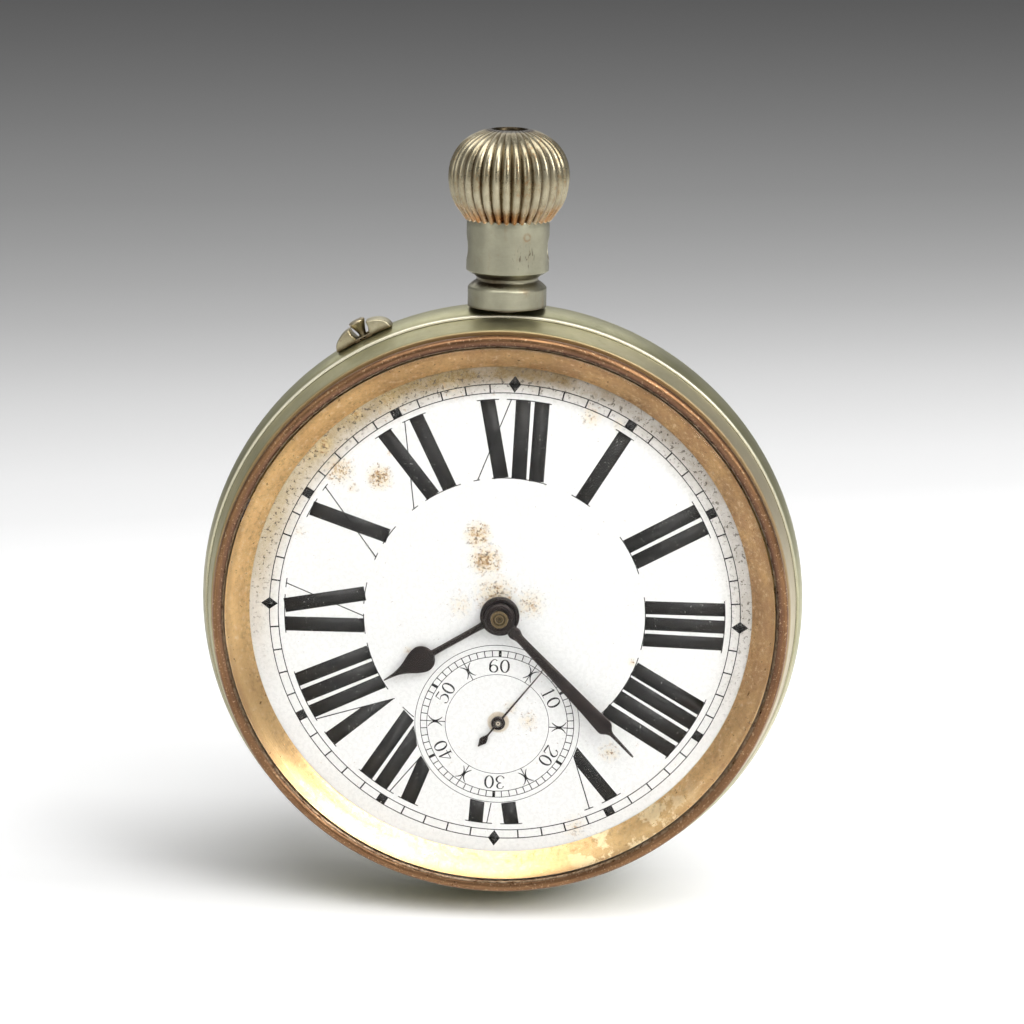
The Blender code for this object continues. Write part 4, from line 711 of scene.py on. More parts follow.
def plate(name, loops, low, high):
    # A flat piece between two heights towards the viewer, from the circles of its outline and its holes.
    curve = bpy.data.curves.new(name, "CURVE")
    curve.dimensions = "2D"
    curve.fill_mode = "BOTH"
    curve.extrude = (high - low) / 2 * mm
    for radius, count, middle in loops:
        turn = around(count)
        line = curve.splines.new("POLY")
        line.points.add(count - 1)
        spots = np.zeros((count, 4), np.float32)
        spots[:, 0] = (radius * np.sin(turn)) * mm
        spots[:, 1] = (middle + radius * np.cos(turn)) * mm
        spots[:, 3] = 1
        line.points.foreach_set("co", spots.ravel())
        line.use_cyclic_u = True
    source = placed(name + "Line", curve)
    mesh = evaluatedMesh(source)
    bpy.data.objects.remove(source)
    points = np.empty(len(mesh.vertices) * 3, np.float32)
    mesh.vertices.foreach_get("co", points)
    points = points.reshape(-1, 3)
    points = np.stack([points[:, 0], -points[:, 2] - (low + high) / 2 * mm, points[:, 1]], -1)
    mesh.vertices.foreach_set("co", points.ravel())
    return tidied(placed(name, mesh))


def makeDial():
    # A flat disc with a hole for the middle hands and one for the seconds hand.
    front = dialPlan["front"]
    return sharpened(plate("dialEnamel", dialPlan["loops"], front - dialPlan["thick"], front), 30)


hands = {
    # lengths in mm; each side line is the distance from the pivot and half the width
    "hour": {"turn": 238.6, "low": 15.27, "high": 15.6, "boss": 2.1, "bossTop": 15.88, "bore": 1.42,
             "pivot": (0, 0),
             "side": [(1.6, 0.46), (2.6, 0.36), (4.0, 0.33), (6.0, 0.32), (8.1, 0.34), (8.35, 0.46),
                      (8.55, 0.85), (8.95, 1.25), (9.55, 1.47), (10.2, 1.38), (10.9, 1.1), (11.6, 0.72),
                      (12.3, 0.42), (13.2, 0.2), (14.45, 0.06)]},
    "minute": {"turn": 136.1, "low": 16.07, "high": 16.36, "boss": 1.63, "bossTop": 16.63, "bore": 0.97,
               "pivot": (0, 0),
               "side": [(1.2, 0.46), (1.65, 0.5), (2.0, 0.64), (2.35, 0.7), (2.7, 0.62), (3.0, 0.5),
                        (3.5, 0.46), (6.0, 0.52), (10.0, 0.65), (14.0, 0.78), (15.6, 0.86), (16.5, 0.88),
                        (16.85, 0.74), (17.15, 0.46), (17.5, 0.27), (18.1, 0.2), (20.4, 0.14),
                        (21.0, 0.09)]},
    "seconds": {"turn": 38.2, "low": 14.88, "high": 15.06, "boss": 0.75, "bossTop": 15.2, "bore": 0.0,
                "pivot": secondsPivot,
                "side": [(0.4, 0.12), (2.0, 0.105), (7.5, 0.06)],
                "tail": [(0.4, 0.12), (1.7, 0.11), (2.2, 0.3), (2.62, 0.43), (2.95, 0.28), (3.45, 0.04)]},
}


def handBlade(name, h, side, turn):
    # Side line (distance, half width) to a blade with a crowned face: five points across, the middle highest.
    line = curveThrough(side, 8 * len(side))
    reach, half = line[:, 0][:, None], np.maximum(line[:, 1], 0.04)[:, None]
    across = np.array([-1.0, -0.72, 0.0, 0.72, 1.0, 1.0, 0.0, -1.0])
    rise = np.array([0.25, 0.8, 1.0, 0.8, 0.25, 0.0, 0.0, 0.0])
    x = half * across
    up = h["low"] + (h["high"] - h["low"]) * rise * (0.45 + 0.55 * np.minimum(half / 0.5, 1.0))
    a = math.radians(turn)
    wx = h["pivot"][0] + x * math.cos(a) + reach * math.sin(a)
    wz = h["pivot"][1] - x * math.sin(a) + reach * math.cos(a)
    return capped(name, np.stack([wx, -up, wz], -1))


def makeHand(name, h):
    # A turned boss with a bored, crested end, joined to the blade and the tail.
    high = h["bossTop"]
    low = h["low"] - 0.04
    crest = h["bore"] + 0.45 * (h["boss"] - h["bore"])
    line = rounded([(h["bore"], low), (h["boss"], low), (h["boss"], high - 0.1), (h["boss"] - 0.12, high),
                    (crest, high), (crest - 0.06, high - 0.06), (h["bore"], high - 0.06)], 0.06, steps=4)
    turn = around(64)
    reach, up = line.T[:, :, None]
    boss = gridPiece(name, h["pivot"][0] + reach * np.sin(turn), -up, h["pivot"][1] + reach * np.cos(turn),
                     True)
    blades = [handBlade(name, h, h["side"], h["turn"])]
    if "tail" in h:
        blades.append(handBlade(name, h, h["tail"], h["turn"] + 180.0))
    return joined(boss, blades)


# Print: each stroke is a thin closed strip between two lines drawn on the dial
numerals = {
    # angles in degrees from the numeral's middle, outer end first
    12: {"bars": [(-6.84, -3.8), (2.37, 3.3), (7.2, 10.41)], "thin": [(-0.72, -13.3)],
         "outer": [(-9.6, -3.9), (-1.9, 9.7)], "inner": [(-15.0, -12.3), (-7.5, 14.7)]},
    1: {"bars": [(0.18, 0.36)], "outer": [(-2.7, 2.8)], "inner": [(-4.4, 4.4)]},
    2: {"bars": [(-2.31, -3.15), (2.61, 4.11)], "outer": [(-5.2, 5.7)], "inner": [(-8.1, 9.2)]},
    3: {"bars": [(-4.62, -6.48), (0.03, 0.18), (4.62, 7.17)], "width": 1.44, "outer": [(-7.0, 7.1)],
        "inner": [(-10.9, 11.5)]},
    4: {"bars": [(-6.84, -10.1), (-2.28, -3.24), (2.4, 3.66), (7.23, 11.16)], "outer": [(-9.7, 9.8)],
        "inner": [(-15.0, 14.8)]},
    5: {"vee": [((-4.0, 0.4), (-0.4, 5.7)), (4.32, 0.48)], "outer": [(-5.0, 0.7), (3.2, 5.7)], "cut": True},
    6: {"bars": [(5.1, 6.6)], "vee": [((-6.4, -4.0), (-2.5, 1.9)), (2.1, -1.9)],
        "outer": [(-7.3, -1.5), (0.7, 7.9)], "cut": True},
    7: {"bars": [(2.25, 2.9), (7.05, 10.0)], "vee": [((-8.1, -6.9), (-4.0, -1.0)), (-0.6, -5.4)],
        "outer": [(-9.0, -3.2), (-1.8, 9.6)], "inner": [(7.8, 14.1)], "cut": True},
    8: {"bars": [(-0.36, -2.34), (4.41, 4.41), (9.09, 11.34)],
        "vee": [((-11.3, -11.05), (-7.2, -6.0)), (-2.7, -11.1)], "width": 1.5,
        "outer": [(-11.9, -6.8), (-3.3, 11.4)], "inner": [(-6.4, 15.2)]},
    9: {"bars": [(-5.28, -7.32), (-0.36, 6.21)], "thin": [(5.7, -3.3)], "outer": [(-7.8, 2.6), (4.5, 7.0)],
        "inner": [(-10.9, -2.4), (1.8, 10.9)]},
    10: {"bars": [(-2.94, 2.4)], "thin": [(3.78, -7.8)], "outer": [(-5.7, 0.0), (2.6, 4.8)],
         "inner": [(-9.1, -5.9), (-1.5, 7.5)]},
    11: {"bars": [(-5.1, -2.5), (4.17, 4.95)], "thin": [(1.0, -12.0)], "outer": [(-7.9, -2.7), (0.3, 6.9)],
         "inner": [(-13.0, -9.9), (-6.3, 9.7)]},
}
digits = {
    # points in a box one high, with the stroke's half width as the third number
    "0": [[(0.31 + 0.23 * math.cos(a), 0.5 + 0.46 * math.sin(a), 0.03 + 0.06 * abs(math.cos(a)))
           for a in np.linspace(0, 2 * math.pi, 33)]],
    "1": [[(0.31, 0.98, 0.075), (0.31, 0.02, 0.075)], [(0.31, 0.97, 0.03), (0.13, 0.8, 0.015)],
          [(0.12, 0.02, 0.02), (0.5, 0.02, 0.02)]],
    "2": [[(0.11, 0.72, 0.07), (0.15, 0.91, 0.035), (0.32, 0.99, 0.03), (0.5, 0.88, 0.07),
           (0.5, 0.66, 0.08), (0.34, 0.4, 0.045), (0.16, 0.18, 0.03), (0.08, 0.05, 0.03)],
          [(0.08, 0.06, 0.06), (0.56, 0.06, 0.06)], [(0.56, 0.05, 0.03), (0.59, 0.22, 0.02)]],
    "3": [[(0.11, 0.78, 0.06), (0.2, 0.95, 0.03), (0.37, 0.97, 0.035), (0.49, 0.82, 0.075),
           (0.43, 0.61, 0.045), (0.25, 0.54, 0.02)],
          [(0.25, 0.54, 0.02), (0.46, 0.47, 0.05), (0.55, 0.27, 0.085), (0.43, 0.05, 0.045),
           (0.24, 0.01, 0.03), (0.09, 0.17, 0.06)]],
    "4": [[(0.42, 0.98, 0.03), (0.04, 0.3, 0.03)], [(0.03, 0.28, 0.03), (0.6, 0.28, 0.03)],
          [(0.42, 0.98, 0.075), (0.42, 0.02, 0.075)], [(0.27, 0.02, 0.02), (0.56, 0.02, 0.02)]],
    "5": [[(0.15, 0.96, 0.025), (0.12, 0.55, 0.025)], [(0.14, 0.93, 0.05), (0.5, 0.93, 0.05)],
          [(0.12, 0.54, 0.02), (0.33, 0.62, 0.04), (0.53, 0.46, 0.08), (0.53, 0.22, 0.08),
           (0.37, 0.03, 0.03), (0.2, 0.01, 0.03), (0.09, 0.14, 0.06)]],
    "6": [[(0.32 + 0.22 * math.cos(a), 0.29 + 0.27 * math.sin(a), 0.03 + 0.05 * abs(math.cos(a)))
           for a in np.linspace(0, 2 * math.pi, 25)],
          [(0.51, 0.88, 0.05), (0.38, 0.97, 0.03), (0.22, 0.86, 0.05), (0.11, 0.6, 0.08),
           (0.11, 0.3, 0.08)]],
}


def printSpot(centre, angle, radius):
    # Where an angle and a distance from a centre lie on the dial, with the print's own turn.
    turn = np.radians(np.asarray(angle, float) + dialPlan["turn"])
    radius = np.asarray(radius, float)
    return np.stack([centre[0] + radius * np.sin(turn), centre[1] + radius * np.cos(turn)], -1)


def dialSpot(angle, radius):
    return printSpot(dialPlan["centre"], angle, radius)


def secondsSpot(angle, radius):
    return printSpot(dialPlan["seconds"], angle, radius)


class Ink:
    # All the print in one mesh: strips between two lines, strokes along a line, and rings.
    def __init__(self):
        self.points, self.faces, self.count = [], [], 0

    def strip(self, left, right, wrap=False):
        # Four points a station: both edges at the dial's face and both just above it.
        low, high = dialPlan["front"] - 0.02, dialPlan["front"] + dialPlan["inkHeight"]
        n = len(left)
        grid = np.empty((n, 4, 3))
        for k, (line, up) in enumerate(((left, high), (right, high), (right, low), (left, low))):
            grid[:, k, 0], grid[:, k, 1], grid[:, k, 2] = line[:, 0], -up, line[:, 1]
        self.points.append(grid.reshape(-1, 3))
        faces = gridFaces(n, 4, wrapRows=wrap, wrapColumns=True)
        if not wrap:
            faces = np.vstack([faces, [[3, 2, 1, 0]], [[4 * n - 4, 4 * n - 3, 4 * n - 2, 4 * n - 1]]])
        self.faces.append(faces + self.count)
        self.count += 4 * n

    def stroke(self, line, half):
        # A line with a width: each station is moved to both sides along the line's normal.
        line = np.asarray(line, float)
        half = np.broadcast_to(np.asarray(half, float), (len(line),))[:, None]
        along = np.gradient(line, axis=0)
        along /= np.linalg.norm(along, axis=1)[:, None]
        side = np.stack([-along[:, 1], along[:, 0]], 1)
        self.strip(line + side * half, line - side * half)

    def ring(self, spot, radius, half, count=360):
        angles = np.linspace(0, 360, count, endpoint=False)
        self.strip(spot(angles, radius + half), spot(angles, radius - half), True)

    def made(self, name):
        return tidied(meshFrom(name, np.vstack(self.points) * mm, np.vstack(self.faces)), 1e-9)


def cutAtSeconds(start, end):
    # The end of a line is brought back to just outside the seconds dial's outer ring.
    line = start + (end - start) * np.linspace(0, 1, 400)[:, None]
    inside = np.linalg.norm(line - np.array(dialPlan["seconds"]), axis=1) < dialPlan["secondsClear"]
    return line[np.argmax(inside)] if inside.any() else end


def printNumeral(ink, hour, n):
    # Bars and thin lines from the outer to the inner ring, a vee between two slanting edges, and the serifs.
    middle = hour * 30.0
    inner, outer = dialPlan["numeral"]
    cut = cutAtSeconds if n.get("cut") else (lambda start, end: end)
    half = n.get("width", dialPlan["barWidth"]) / 2

    def ends(top, bottom):
        return dialSpot(middle + top, outer), dialSpot(middle + bottom, inner)

    for top, bottom in n.get("bars", []):
        start, end = ends(top, bottom)
        along = (end - start) / np.linalg.norm(end - start)
        side = np.array([-along[1], along[0]]) * half
        ink.strip(np.array([start + side, cut(start + side, end + side)]),
                  np.array([start - side, cut(start - side, end - side)]))
    for top, bottom in n.get("thin", []):
        start, end = ends(top, bottom)
        ink.stroke([start, cut(start, end)], dialPlan["thinHalf"])
    if "vee" in n:
        (leftLine, rightLine), thinLine = n["vee"]
        a0, a1 = ends(*leftLine)
        b0, b1 = ends(*rightLine)
        c0, c1 = ends(*thinLine)
        meet = crossing(b0, b1, c0, c1)
        point = crossing(a0, a1, c0, c1)
        ink.stroke([c0, cut(c0, point)], dialPlan["thinHalf"])
        left, right = np.array([a0, point, point]), np.array([b0, meet, point])
        if n.get("cut"):
            left[1:] = cut(a0, point)
            right[1] = cut(b0, meet)
            away = np.linalg.norm(meet - np.array(dialPlan["seconds"]))
            right[2] = cut(meet, point) if away > dialPlan["secondsClear"] else right[1]
        ink.strip(left, right)
    serif = dialPlan["serifHalf"]
    for key, radius in (("outer", outer), ("inner", inner)):
        for start, end in n.get(key, []):
            angles = np.linspace(middle + start, middle + end, 24)
            ink.strip(dialSpot(angles, radius + serif), dialSpot(angles, radius - serif))


def crossing(a0, a1, b0, b1):
    # Where two lines meet, each given by two points.
    d, e = a1 - a0, b1 - b0
    t = ((b0[0] - a0[0]) * e[1] - (b0[1] - a0[1]) * e[0]) / (d[0] * e[1] - d[1] * e[0])
    return a0 + d * t


def printDigits(ink, text, angle):
    # Digits in a row whose tops point away from the seconds dial's middle.
    radius, height, share = dialPlan["digits"]
    turn = math.radians(angle + dialPlan["turn"])
    right = np.array([math.cos(turn), -math.sin(turn)])
    up = np.array([math.sin(turn), math.cos(turn)])
    middle = np.array(dialPlan["seconds"]) + up * radius
    wide = share * height
    for index, letter in enumerate(text):
        corner = middle + right * (index - len(text) / 2) * wide * 1.04 - up * height / 2
        for line in digits[letter]:
            line = np.array(line)
            if len(line) > 2:
                line = curveThrough(line, 5 * len(line))
            spots = corner + (line[:, :1] * 1.22 * right + line[:, 1:2] * up) * height
            ink.stroke(spots, line[:, 2] * share * height)


def makePrint():
    # Minute track and numerals, then the seconds dial's rings, marks and digits.
    ink = Ink()
    low, high = dialPlan["track"]
    for radius in (low, high):
        ink.ring(dialSpot, radius, dialPlan["trackHalf"])
    for minute in range(60):
        angle = minute * 6.0
        if minute % 15 == 0:
            reach, half = dialPlan["diamond"]
            ink.stroke(dialSpot([angle] * 3, high + np.array(reach)), half)
        else:
            half = dialPlan["minuteHalf" if minute % 5 else "fiveHalf"]
            ink.stroke(dialSpot([angle] * 2, [low, high]), half)
    for hour, n in numerals.items():
        printNumeral(ink, hour, n)
    for radius, half in zip(dialPlan["secondsRings"], dialPlan["ringHalf"]):
        ink.ring(secondsSpot, radius, half, 180)
    _, high, low, inner = dialPlan["secondsRings"]
    gaps, (away, bend), (thin, swell) = (dialPlan[key] for key in ("bowGaps", "bowTurn", "bowHalf"))
    for second in range(60):
        angle = second * 6.0
        if second % 10 == 5:
            ink.stroke(secondsSpot([angle] * 2, [inner, high]), dialPlan["needleHalf"])
            for side in (-1, 1):
                reach = np.linspace(inner + gaps[0], low - gaps[1], 9)
                bow = ((reach - reach.mean()) / (reach[-1] - reach[0]) * 2) ** 2
                ink.stroke(secondsSpot(angle + side * (away + bend * bow), reach), thin + swell * (1 - bow))
        else:
            half = dialPlan["secondHalf" if second % 10 else "tenHalf"]
            ink.stroke(secondsSpot([angle] * 2, [low, high]), half)
    for index, text in enumerate(("60", "10", "20", "30", "40", "50")):
        printDigits(ink, text, index * 60.0)
    return ink.made("dialPrint")


# Finishes
enamel = {
    # rim: the brown of the grime and of the painted shade at the upper rim
    "white": (0.73, 0.73, 0.71), "rim": (0.19, 0.125, 0.046), "rust": (0.2, 0.095, 0.025),
    "dark": (0.05, 0.035, 0.02), "yellow": (0.66, 0.5, 0.23), "ring": (0.52, 0.42, 0.28),
    # place (x, z) and reach in mm of each stain, and how strong it is
    "stains": [((-17.2, 15.3), 2.3, 0.8), ((-13.0, 14.6), 2.0, 0.95), ((-15.8, 13.4), 1.1, 0.5),
               ((-2.5, 8.6), 2.2, 0.9), ((-1.6, 5.9), 2.6, 0.9), ((-0.6, 2.2), 3.4, 0.7),
               ((3.2, 1.2), 2.6, 0.6), ((-4.2, 0.8), 2.4, 0.45), ((9.2, 21.6), 1.8, 0.6),
               ((12.2, 20.9), 1.4, 0.4), ((-12.0, 23.0), 3.2, 0.4), ((-5.5, 24.5), 3.0, 0.35),
               ((3.2, -11.9), 1.8, 0.5), ((1.4, -10.4), 1.3, 0.5), ((12.0, -15.2), 2.0, 0.5),
               ((14.2, -5.0), 0.8, 0.6), ((8.5, -23.8), 2.4, 0.45), ((-21.5, 8.6), 1.6, 0.35),
               ((-9.8, -4.4), 1.2, 0.4), ((-20.5, 17.5), 2.4, 0.6), ((-15.6, 21.4), 1.2, 0.9),
               ((-18.9, 17.9), 1.6, 0.8), ((-11.8, 17.4), 0.7, 0.6)],
}


def enamelFinish():
    # White enamel: brownish grime towards the upper rim, mixed with painted shade where the bezel's shadow
    # falls there, fine dark specks in it, stains with a yellow halo and rust grains in their middles, and a
    # beige ring where the seconds hand's hub has rubbed.
    v = enamel
    material, tree, shader, place = newMaterial("dialEnamelWhite", v["white"], 0.0, 0.25)
    radius, x, z = dialPolar(place)
    spots = node(tree, "Group", {"node_tree": mottle}, Place=place, Scale=260.0, Specks=0.42).outputs
    # painted shade and grime together: darker brown towards the upper rim and the upper left
    higher = plus(z, times(x, 0.08))
    upper = spreadMm(higher, -13.0, 2.0, 0.05, 0.5)
    upper = plus(upper, spreadMm(higher, 1.0, 23.0, 0.0, 0.3))
    upper = plus(upper, spreadMm(z, 22.5, 25.5, 0.0, 0.3))
    sided = times(spreadMm(x, -20.0, 20.0, 0.24, -0.06), spreadMm(z, 0.0, 12.0))
    upper = plus(upper, sided)
    near = spreadMm(radius, 23.3, 25.9)
    grimeAndShade = times(near, upper, spread(spots["Broad"], 0.0, 1.0, 0.62, 1.0))
    clouds = times(spread(spots["Broad"], 0.4, 1.0), 0.012)
    colour = mixed(plus(grimeAndShade, clouds, clamp=True), v["white"], v["rim"])
    aged = times(spreadMm(x, -2.0, -20.0), spreadMm(z, -8.0, 10.0))
    colour = mixed(times(aged, near, 0.5), colour, (0.55, 0.42, 0.2))
    total = 0.0
    for (stainX, stainZ), reach, strength in v["stains"]:
        away = distance(place, (stainX, -dialPlan["front"], stainZ))
        one = spreadMm(away, reach, 0.0, 0.0, strength)
        total = one if total == 0.0 else larger(total, one)
    ragged = times(total, spread(spots["Fine"], 0.0, 1.0, 0.35, 1.5))
    colour = mixed(times(spread(ragged, 0.15, 0.8), 0.7), colour, v["yellow"])
    blotch = noiseAt(place, 1500.0, 4.0, 0.7)
    brown = spread(plus(times(total, 0.3), blotch), 0.66, 0.84)
    colour = mixed(times(brown, 0.85), colour, (0.38, 0.21, 0.068))
    fine = noiseAt(place, 3600.0, 3.0, 0.65)
    rusted = spread(plus(times(ragged, 0.26), fine), 0.7, 0.78)
    colour = mixed(times(rusted, 0.9), colour, v["rust"])
    dirty = larger(grimeAndShade, times(total, 0.8))
    pepper = times(grains(place, 2400.0, 0.575, 0.635), spread(dirty, 0.08, 0.5))
    blots = times(grains(place, 900.0, 0.64, 0.7, 5.0), spread(dirty, 0.2, 0.8))
    colour = mixed(times(larger(pepper, blots), 0.8), colour, v["dark"])
    hub = distance(place, (secondsPivot[0], -dialPlan["front"], secondsPivot[1]))
    worn = times(spreadMm(hub, 1.25, 1.08), 0.75)
    colour = mixed(worn, colour, v["ring"])
    wire(shader.inputs["Base Color"], colour)
    wire(shader.inputs["Roughness"], spread(spots["Fine"], 0.0, 1.0, 0.2, 0.36))
    height = minus(times(spots["Broad"], 0.6), rusted)
    bumped(shader, height, 0.15, 0.03)
    return material


def inkFinish():
    # Fired black print, worn through in pinholes and a little brown where it is thin.
    material, tree, shader, place = newMaterial("printBlack", (0.012, 0.012, 0.012), 0.0, 0.4)
    shader.inputs["Specular IOR Level"].default_value = 0.2
    spots = node(tree, "Group", {"node_tree": mottle}, Place=place, Scale=600.0, Specks=0.3).outputs
    colour = mixed(spots["Broad"], (0.011, 0.011, 0.011), (0.021, 0.02, 0.019))
    pinholes = grains(place, 4800.0, 0.645, 0.69, 3.0)
    colour = mixed(times(pinholes, 0.9), colour, (0.6, 0.58, 0.54))
    wire(shader.inputs["Base Color"], colour)
    wire(shader.inputs["Roughness"], spread(spots["Fine"], 0.0, 1.0, 0.36, 0.55))
    bumped(shader, spots["Fine"], 0.1, 0.02)
    return material


def brassShowing(place, spots, colour):
    # The crown's plating is gone at the ribs' lower ends and in streaks on them.
    split = apart(place)
    low = spreadMm(split["Z"], 43.7, 42.2)
    mask = times(low, spread(spots["Broad"], 0.1, 0.7, 0.2, 1.0))
    colour = mixed(times(mask, 0.9), colour, (0.5, 0.235, 0.085))
    patch = times(spread(spots["Fine"], 0.5, 0.85), spread(spots["Broad"], 0.4, 0.8))
    return mixed(times(patch, 0.75), colour, (0.26, 0.14, 0.06))


def crownDirtAndShade(place, spots, colour):
    # Dirt fills the grooves, by the mesh's own groove value, and painted shade darkens the top and its disc.
    cut = node(place.id_data, "Attribute", {"attribute_name": "groove"}).outputs["Fac"]
    cut = times(spread(cut, 0.45, 1.0), spread(spots["Fine"], 0.0, 1.0, 0.5, 1.0))
    colour = mixed(times(cut, 0.75), colour, (0.12, 0.078, 0.04))
    # painted shade: the top dimmed and its flat disc darkened to near black
    away = distance(place, (0.0, stemPlace, 51.2))
    dull = spreadMm(away, 4.2, 2.3)
    colour = mixed(times(dull, 0.5), colour, (0.15, 0.115, 0.06))
    disc = spreadMm(away, 2.8, 2.4)
    return mixed(times(disc, 0.97), colour, (0.035, 0.026, 0.015))


def olderNickel(place, spots, colour):
    # The neck's nickel has yellow-brown patches and fine streaks along its length, a small brown ring and
    # scratches at its right, and rust at the collar.
    streaks = grains(stretched(place, (1.0, 1.0, 0.22)), 1500.0, 0.56, 0.72, 4.0)
    brown = times(streaks, spread(spots["Broad"], 0.3, 0.9))
    colour = mixed(times(brown, 0.6), colour, (0.26, 0.17, 0.08))
    ring = nearSpot(place, (2.1, -13.8, 40.3), 0.8)
    ring = times(spread(ring, 0.36, 0.5), spread(ring, 0.8, 0.62))
    rust = times(nearSpot(place, (2.1, -13.6, 34.7), 0.9), spread(spots["Fine"], 0.4, 0.7))
    lines = noiseAt(stretched(place, (1.0, 1.0, 0.3), (0.0, 0.5, 0.0)), 4200.0, 2.0)
    lines = times(spread(lines, 0.58, 0.64), spread(nearSpot(place, (1.9, -13.9, 38.2), 1.5), 0.0, 0.4))
    marks = larger(ring, rust)
    marks = times(marks, spread(spots["Fine"], 0.2, 0.6, 0.35, 1.0))
    colour = mixed(times(marks, 0.6), colour, (0.24, 0.145, 0.07))
    return mixed(times(lines, 0.75), colour, (0.09, 0.07, 0.045))


def grooveStainAndFootShade(place, spots, colour):
    # A dark ragged stain in the left half of the groove under the neck, and painted shade at the foot, a dark
    # line where the neck meets the case.
    split = apart(place)
    ragged = times(minus(spots["Fine"], 0.5), 0.35 * mm)
    high = plus(split["Z"], ragged)
    stain = times(spreadMm(high, 34.8, 35.05), spreadMm(split["Z"], 36.34, 36.1))
    stain = times(stain, spreadMm(split["X"], 0.8, -1.2, 0.12, 1.0))
    stain = times(stain, spread(spots["Broad"], 0.0, 0.5, 0.6, 1.0))
    colour = mixed(times(stain, 0.92), colour, (0.045, 0.027, 0.014))
    # painted shade: a tight dark line at the neck's foot, over the case
    foot = spreadMm(split["Z"], 32.8, 32.55)
    return mixed(times(foot, 0.8), colour, (0.08, 0.055, 0.03))


def guardDirt(place, spots, colour):
    # The guard is brown with dirt at its foot and beside the pin, and pitted with rust on its faces.
    radius = dialPolar(place)[0]
    foot = spreadMm(radius, 33.0, 32.6)
    middle = aroundCase(0.0, 33.2)
    beside = nearSpot(place, (middle[0], stemPlace - guard["depth"], middle[1]), 1.2)
    dirt = larger(foot, beside)
    dirt = times(dirt, spread(spots["Broad"], 0.0, 0.8, 0.5, 1.0))
    return mixed(times(dirt, 0.9), colour, (0.1, 0.062, 0.03))


def pinionRings(place, spots, colour):
    # The pinion's end has a dark ring, a dark middle and a dark edge: painted shade standing in for the
    # groove round a raised middle and for a small hole.
    radius = dialPolar(place)[0]
    dark = times(spreadMm(radius, 0.48, 0.54), spreadMm(radius, 0.7, 0.64))
    dark = larger(dark, spreadMm(radius, 0.17, 0.12))
    dark = larger(dark, spreadMm(radius, 0.88, 0.94))
    return mixed(times(dark, 0.9), colour, (0.025, 0.018, 0.01))


def hubShowing(place, spots, colour):
    # The seconds hand's hub has a greyer end with a pale pivot in its middle.
    flat = stretched(place, (1.0, 0.0, 1.0))
    near = nearSpot(flat, (secondsPivot[0], 0.0, secondsPivot[1]), 1.0)
    colour = mixed(times(spread(near, 0.6, 0.68), 0.7), colour, (0.2, 0.19, 0.16))
    colour = mixed(spread(near, 0.76, 0.8), colour, (0.55, 0.48, 0.38))
    return mixed(spread(near, 0.88, 0.92), colour, (0.05, 0.04, 0.03))


def flangeShadeAndMottle(place, spots, colour):
    # The gilding is browner at the right and the top (painted shade), duller low at the left and at the
    # bottom where the lamp's highlight reaches too far (painted shade), darker at its outer edge by the bead
    # (painted shade in the groove), mottled like crushed leaf, and pitted next to the dial.
    radius, x, z = dialPolar(place)
    # painted shade: browner towards the right and the top
    side = spreadMm(plus(x, times(z, 0.75)), -5.0, 30.0)
    mask = times(side, spread(spots["Broad"], 0.0, 1.0, 0.55, 1.0))
    colour = mixed(times(mask, 0.85), colour, (0.46, 0.27, 0.14))
    crushed = noiseAt(place, 1700.0, 5.0, 0.75)
    shine = spread(crushed, 0.54, 0.66)
    colour = mixed(times(shine, 0.55), colour, (1.0, 0.82, 0.52))
    dull = spread(crushed, 0.46, 0.36)
    colour = mixed(times(dull, 0.4), colour, (0.36, 0.2, 0.09))
    # painted shade: dims the highlight low at the left and at the bottom
    below = times(spreadMm(z, -18.0, -25.0), spreadMm(x, -14.0, -4.0))
    beside = times(spreadMm(x, -20.0, -23.5), spreadMm(z, 4.0, -8.0))
    duller = times(larger(below, beside), 0.55)
    colour = mixed(duller, colour, (0.5, 0.34, 0.16))
    # painted shade in the groove by the bead
    outer = times(spreadMm(radius, 28.5, 28.95), spread(spots["Broad"], 0.0, 1.0, 0.6, 1.0))
    colour = mixed(times(outer, 0.7), colour, (0.4, 0.23, 0.1))
    patches = noiseAt(place, 420.0, 5.0, 0.65)
    leaf = times(spread(patches, 0.5, 0.55), spread(nearSpot(place, (15.0, -15.5, -23.5), 9.0), 0.0, 0.5))
    colour = mixed(times(leaf, 0.7), colour, (1.0, 0.84, 0.52))
    pits = times(spreadMm(radius, 28.2, 26.9), spread(spots["Fine"], 0.5, 0.9))
    return mixed(times(pits, 0.4), colour, (0.2, 0.11, 0.045))


def stripedBead(place, spots, colour):
    # The bead is gold-brown on its outer half and purplish brown on the inner, darkest at the top, which is
    # painted shade; it is darker towards the bottom, also painted shade, has a painted highlight along its
    # inner edge, and bright grains on both halves.
    radius, _, z = dialPolar(place)
    # painted shade: the inner half darker, most towards the top
    inner = times(spreadMm(radius, 30.1, 29.7), spreadMm(z, -14.0, 2.0, 0.1, 0.75))
    colour = mixed(inner, colour, (0.15, 0.08, 0.055))
    # painted shade: darker towards the bottom
    low = spreadMm(z, -4.0, -20.0)
    colour = mixed(times(low, 0.35), colour, (0.22, 0.12, 0.06))
    # painted highlight: a thin light line along the inner edge
    lipHighlight = times(spreadMm(radius, 29.52, 29.44), spread(spots["Fine"], 0.2, 0.7))
    colour = mixed(times(lipHighlight, 0.6), colour, (0.8, 0.62, 0.42))
    return mixed(times(grains(place, 4200.0, 0.6, 0.68), 0.5), colour, (0.7, 0.5, 0.3))


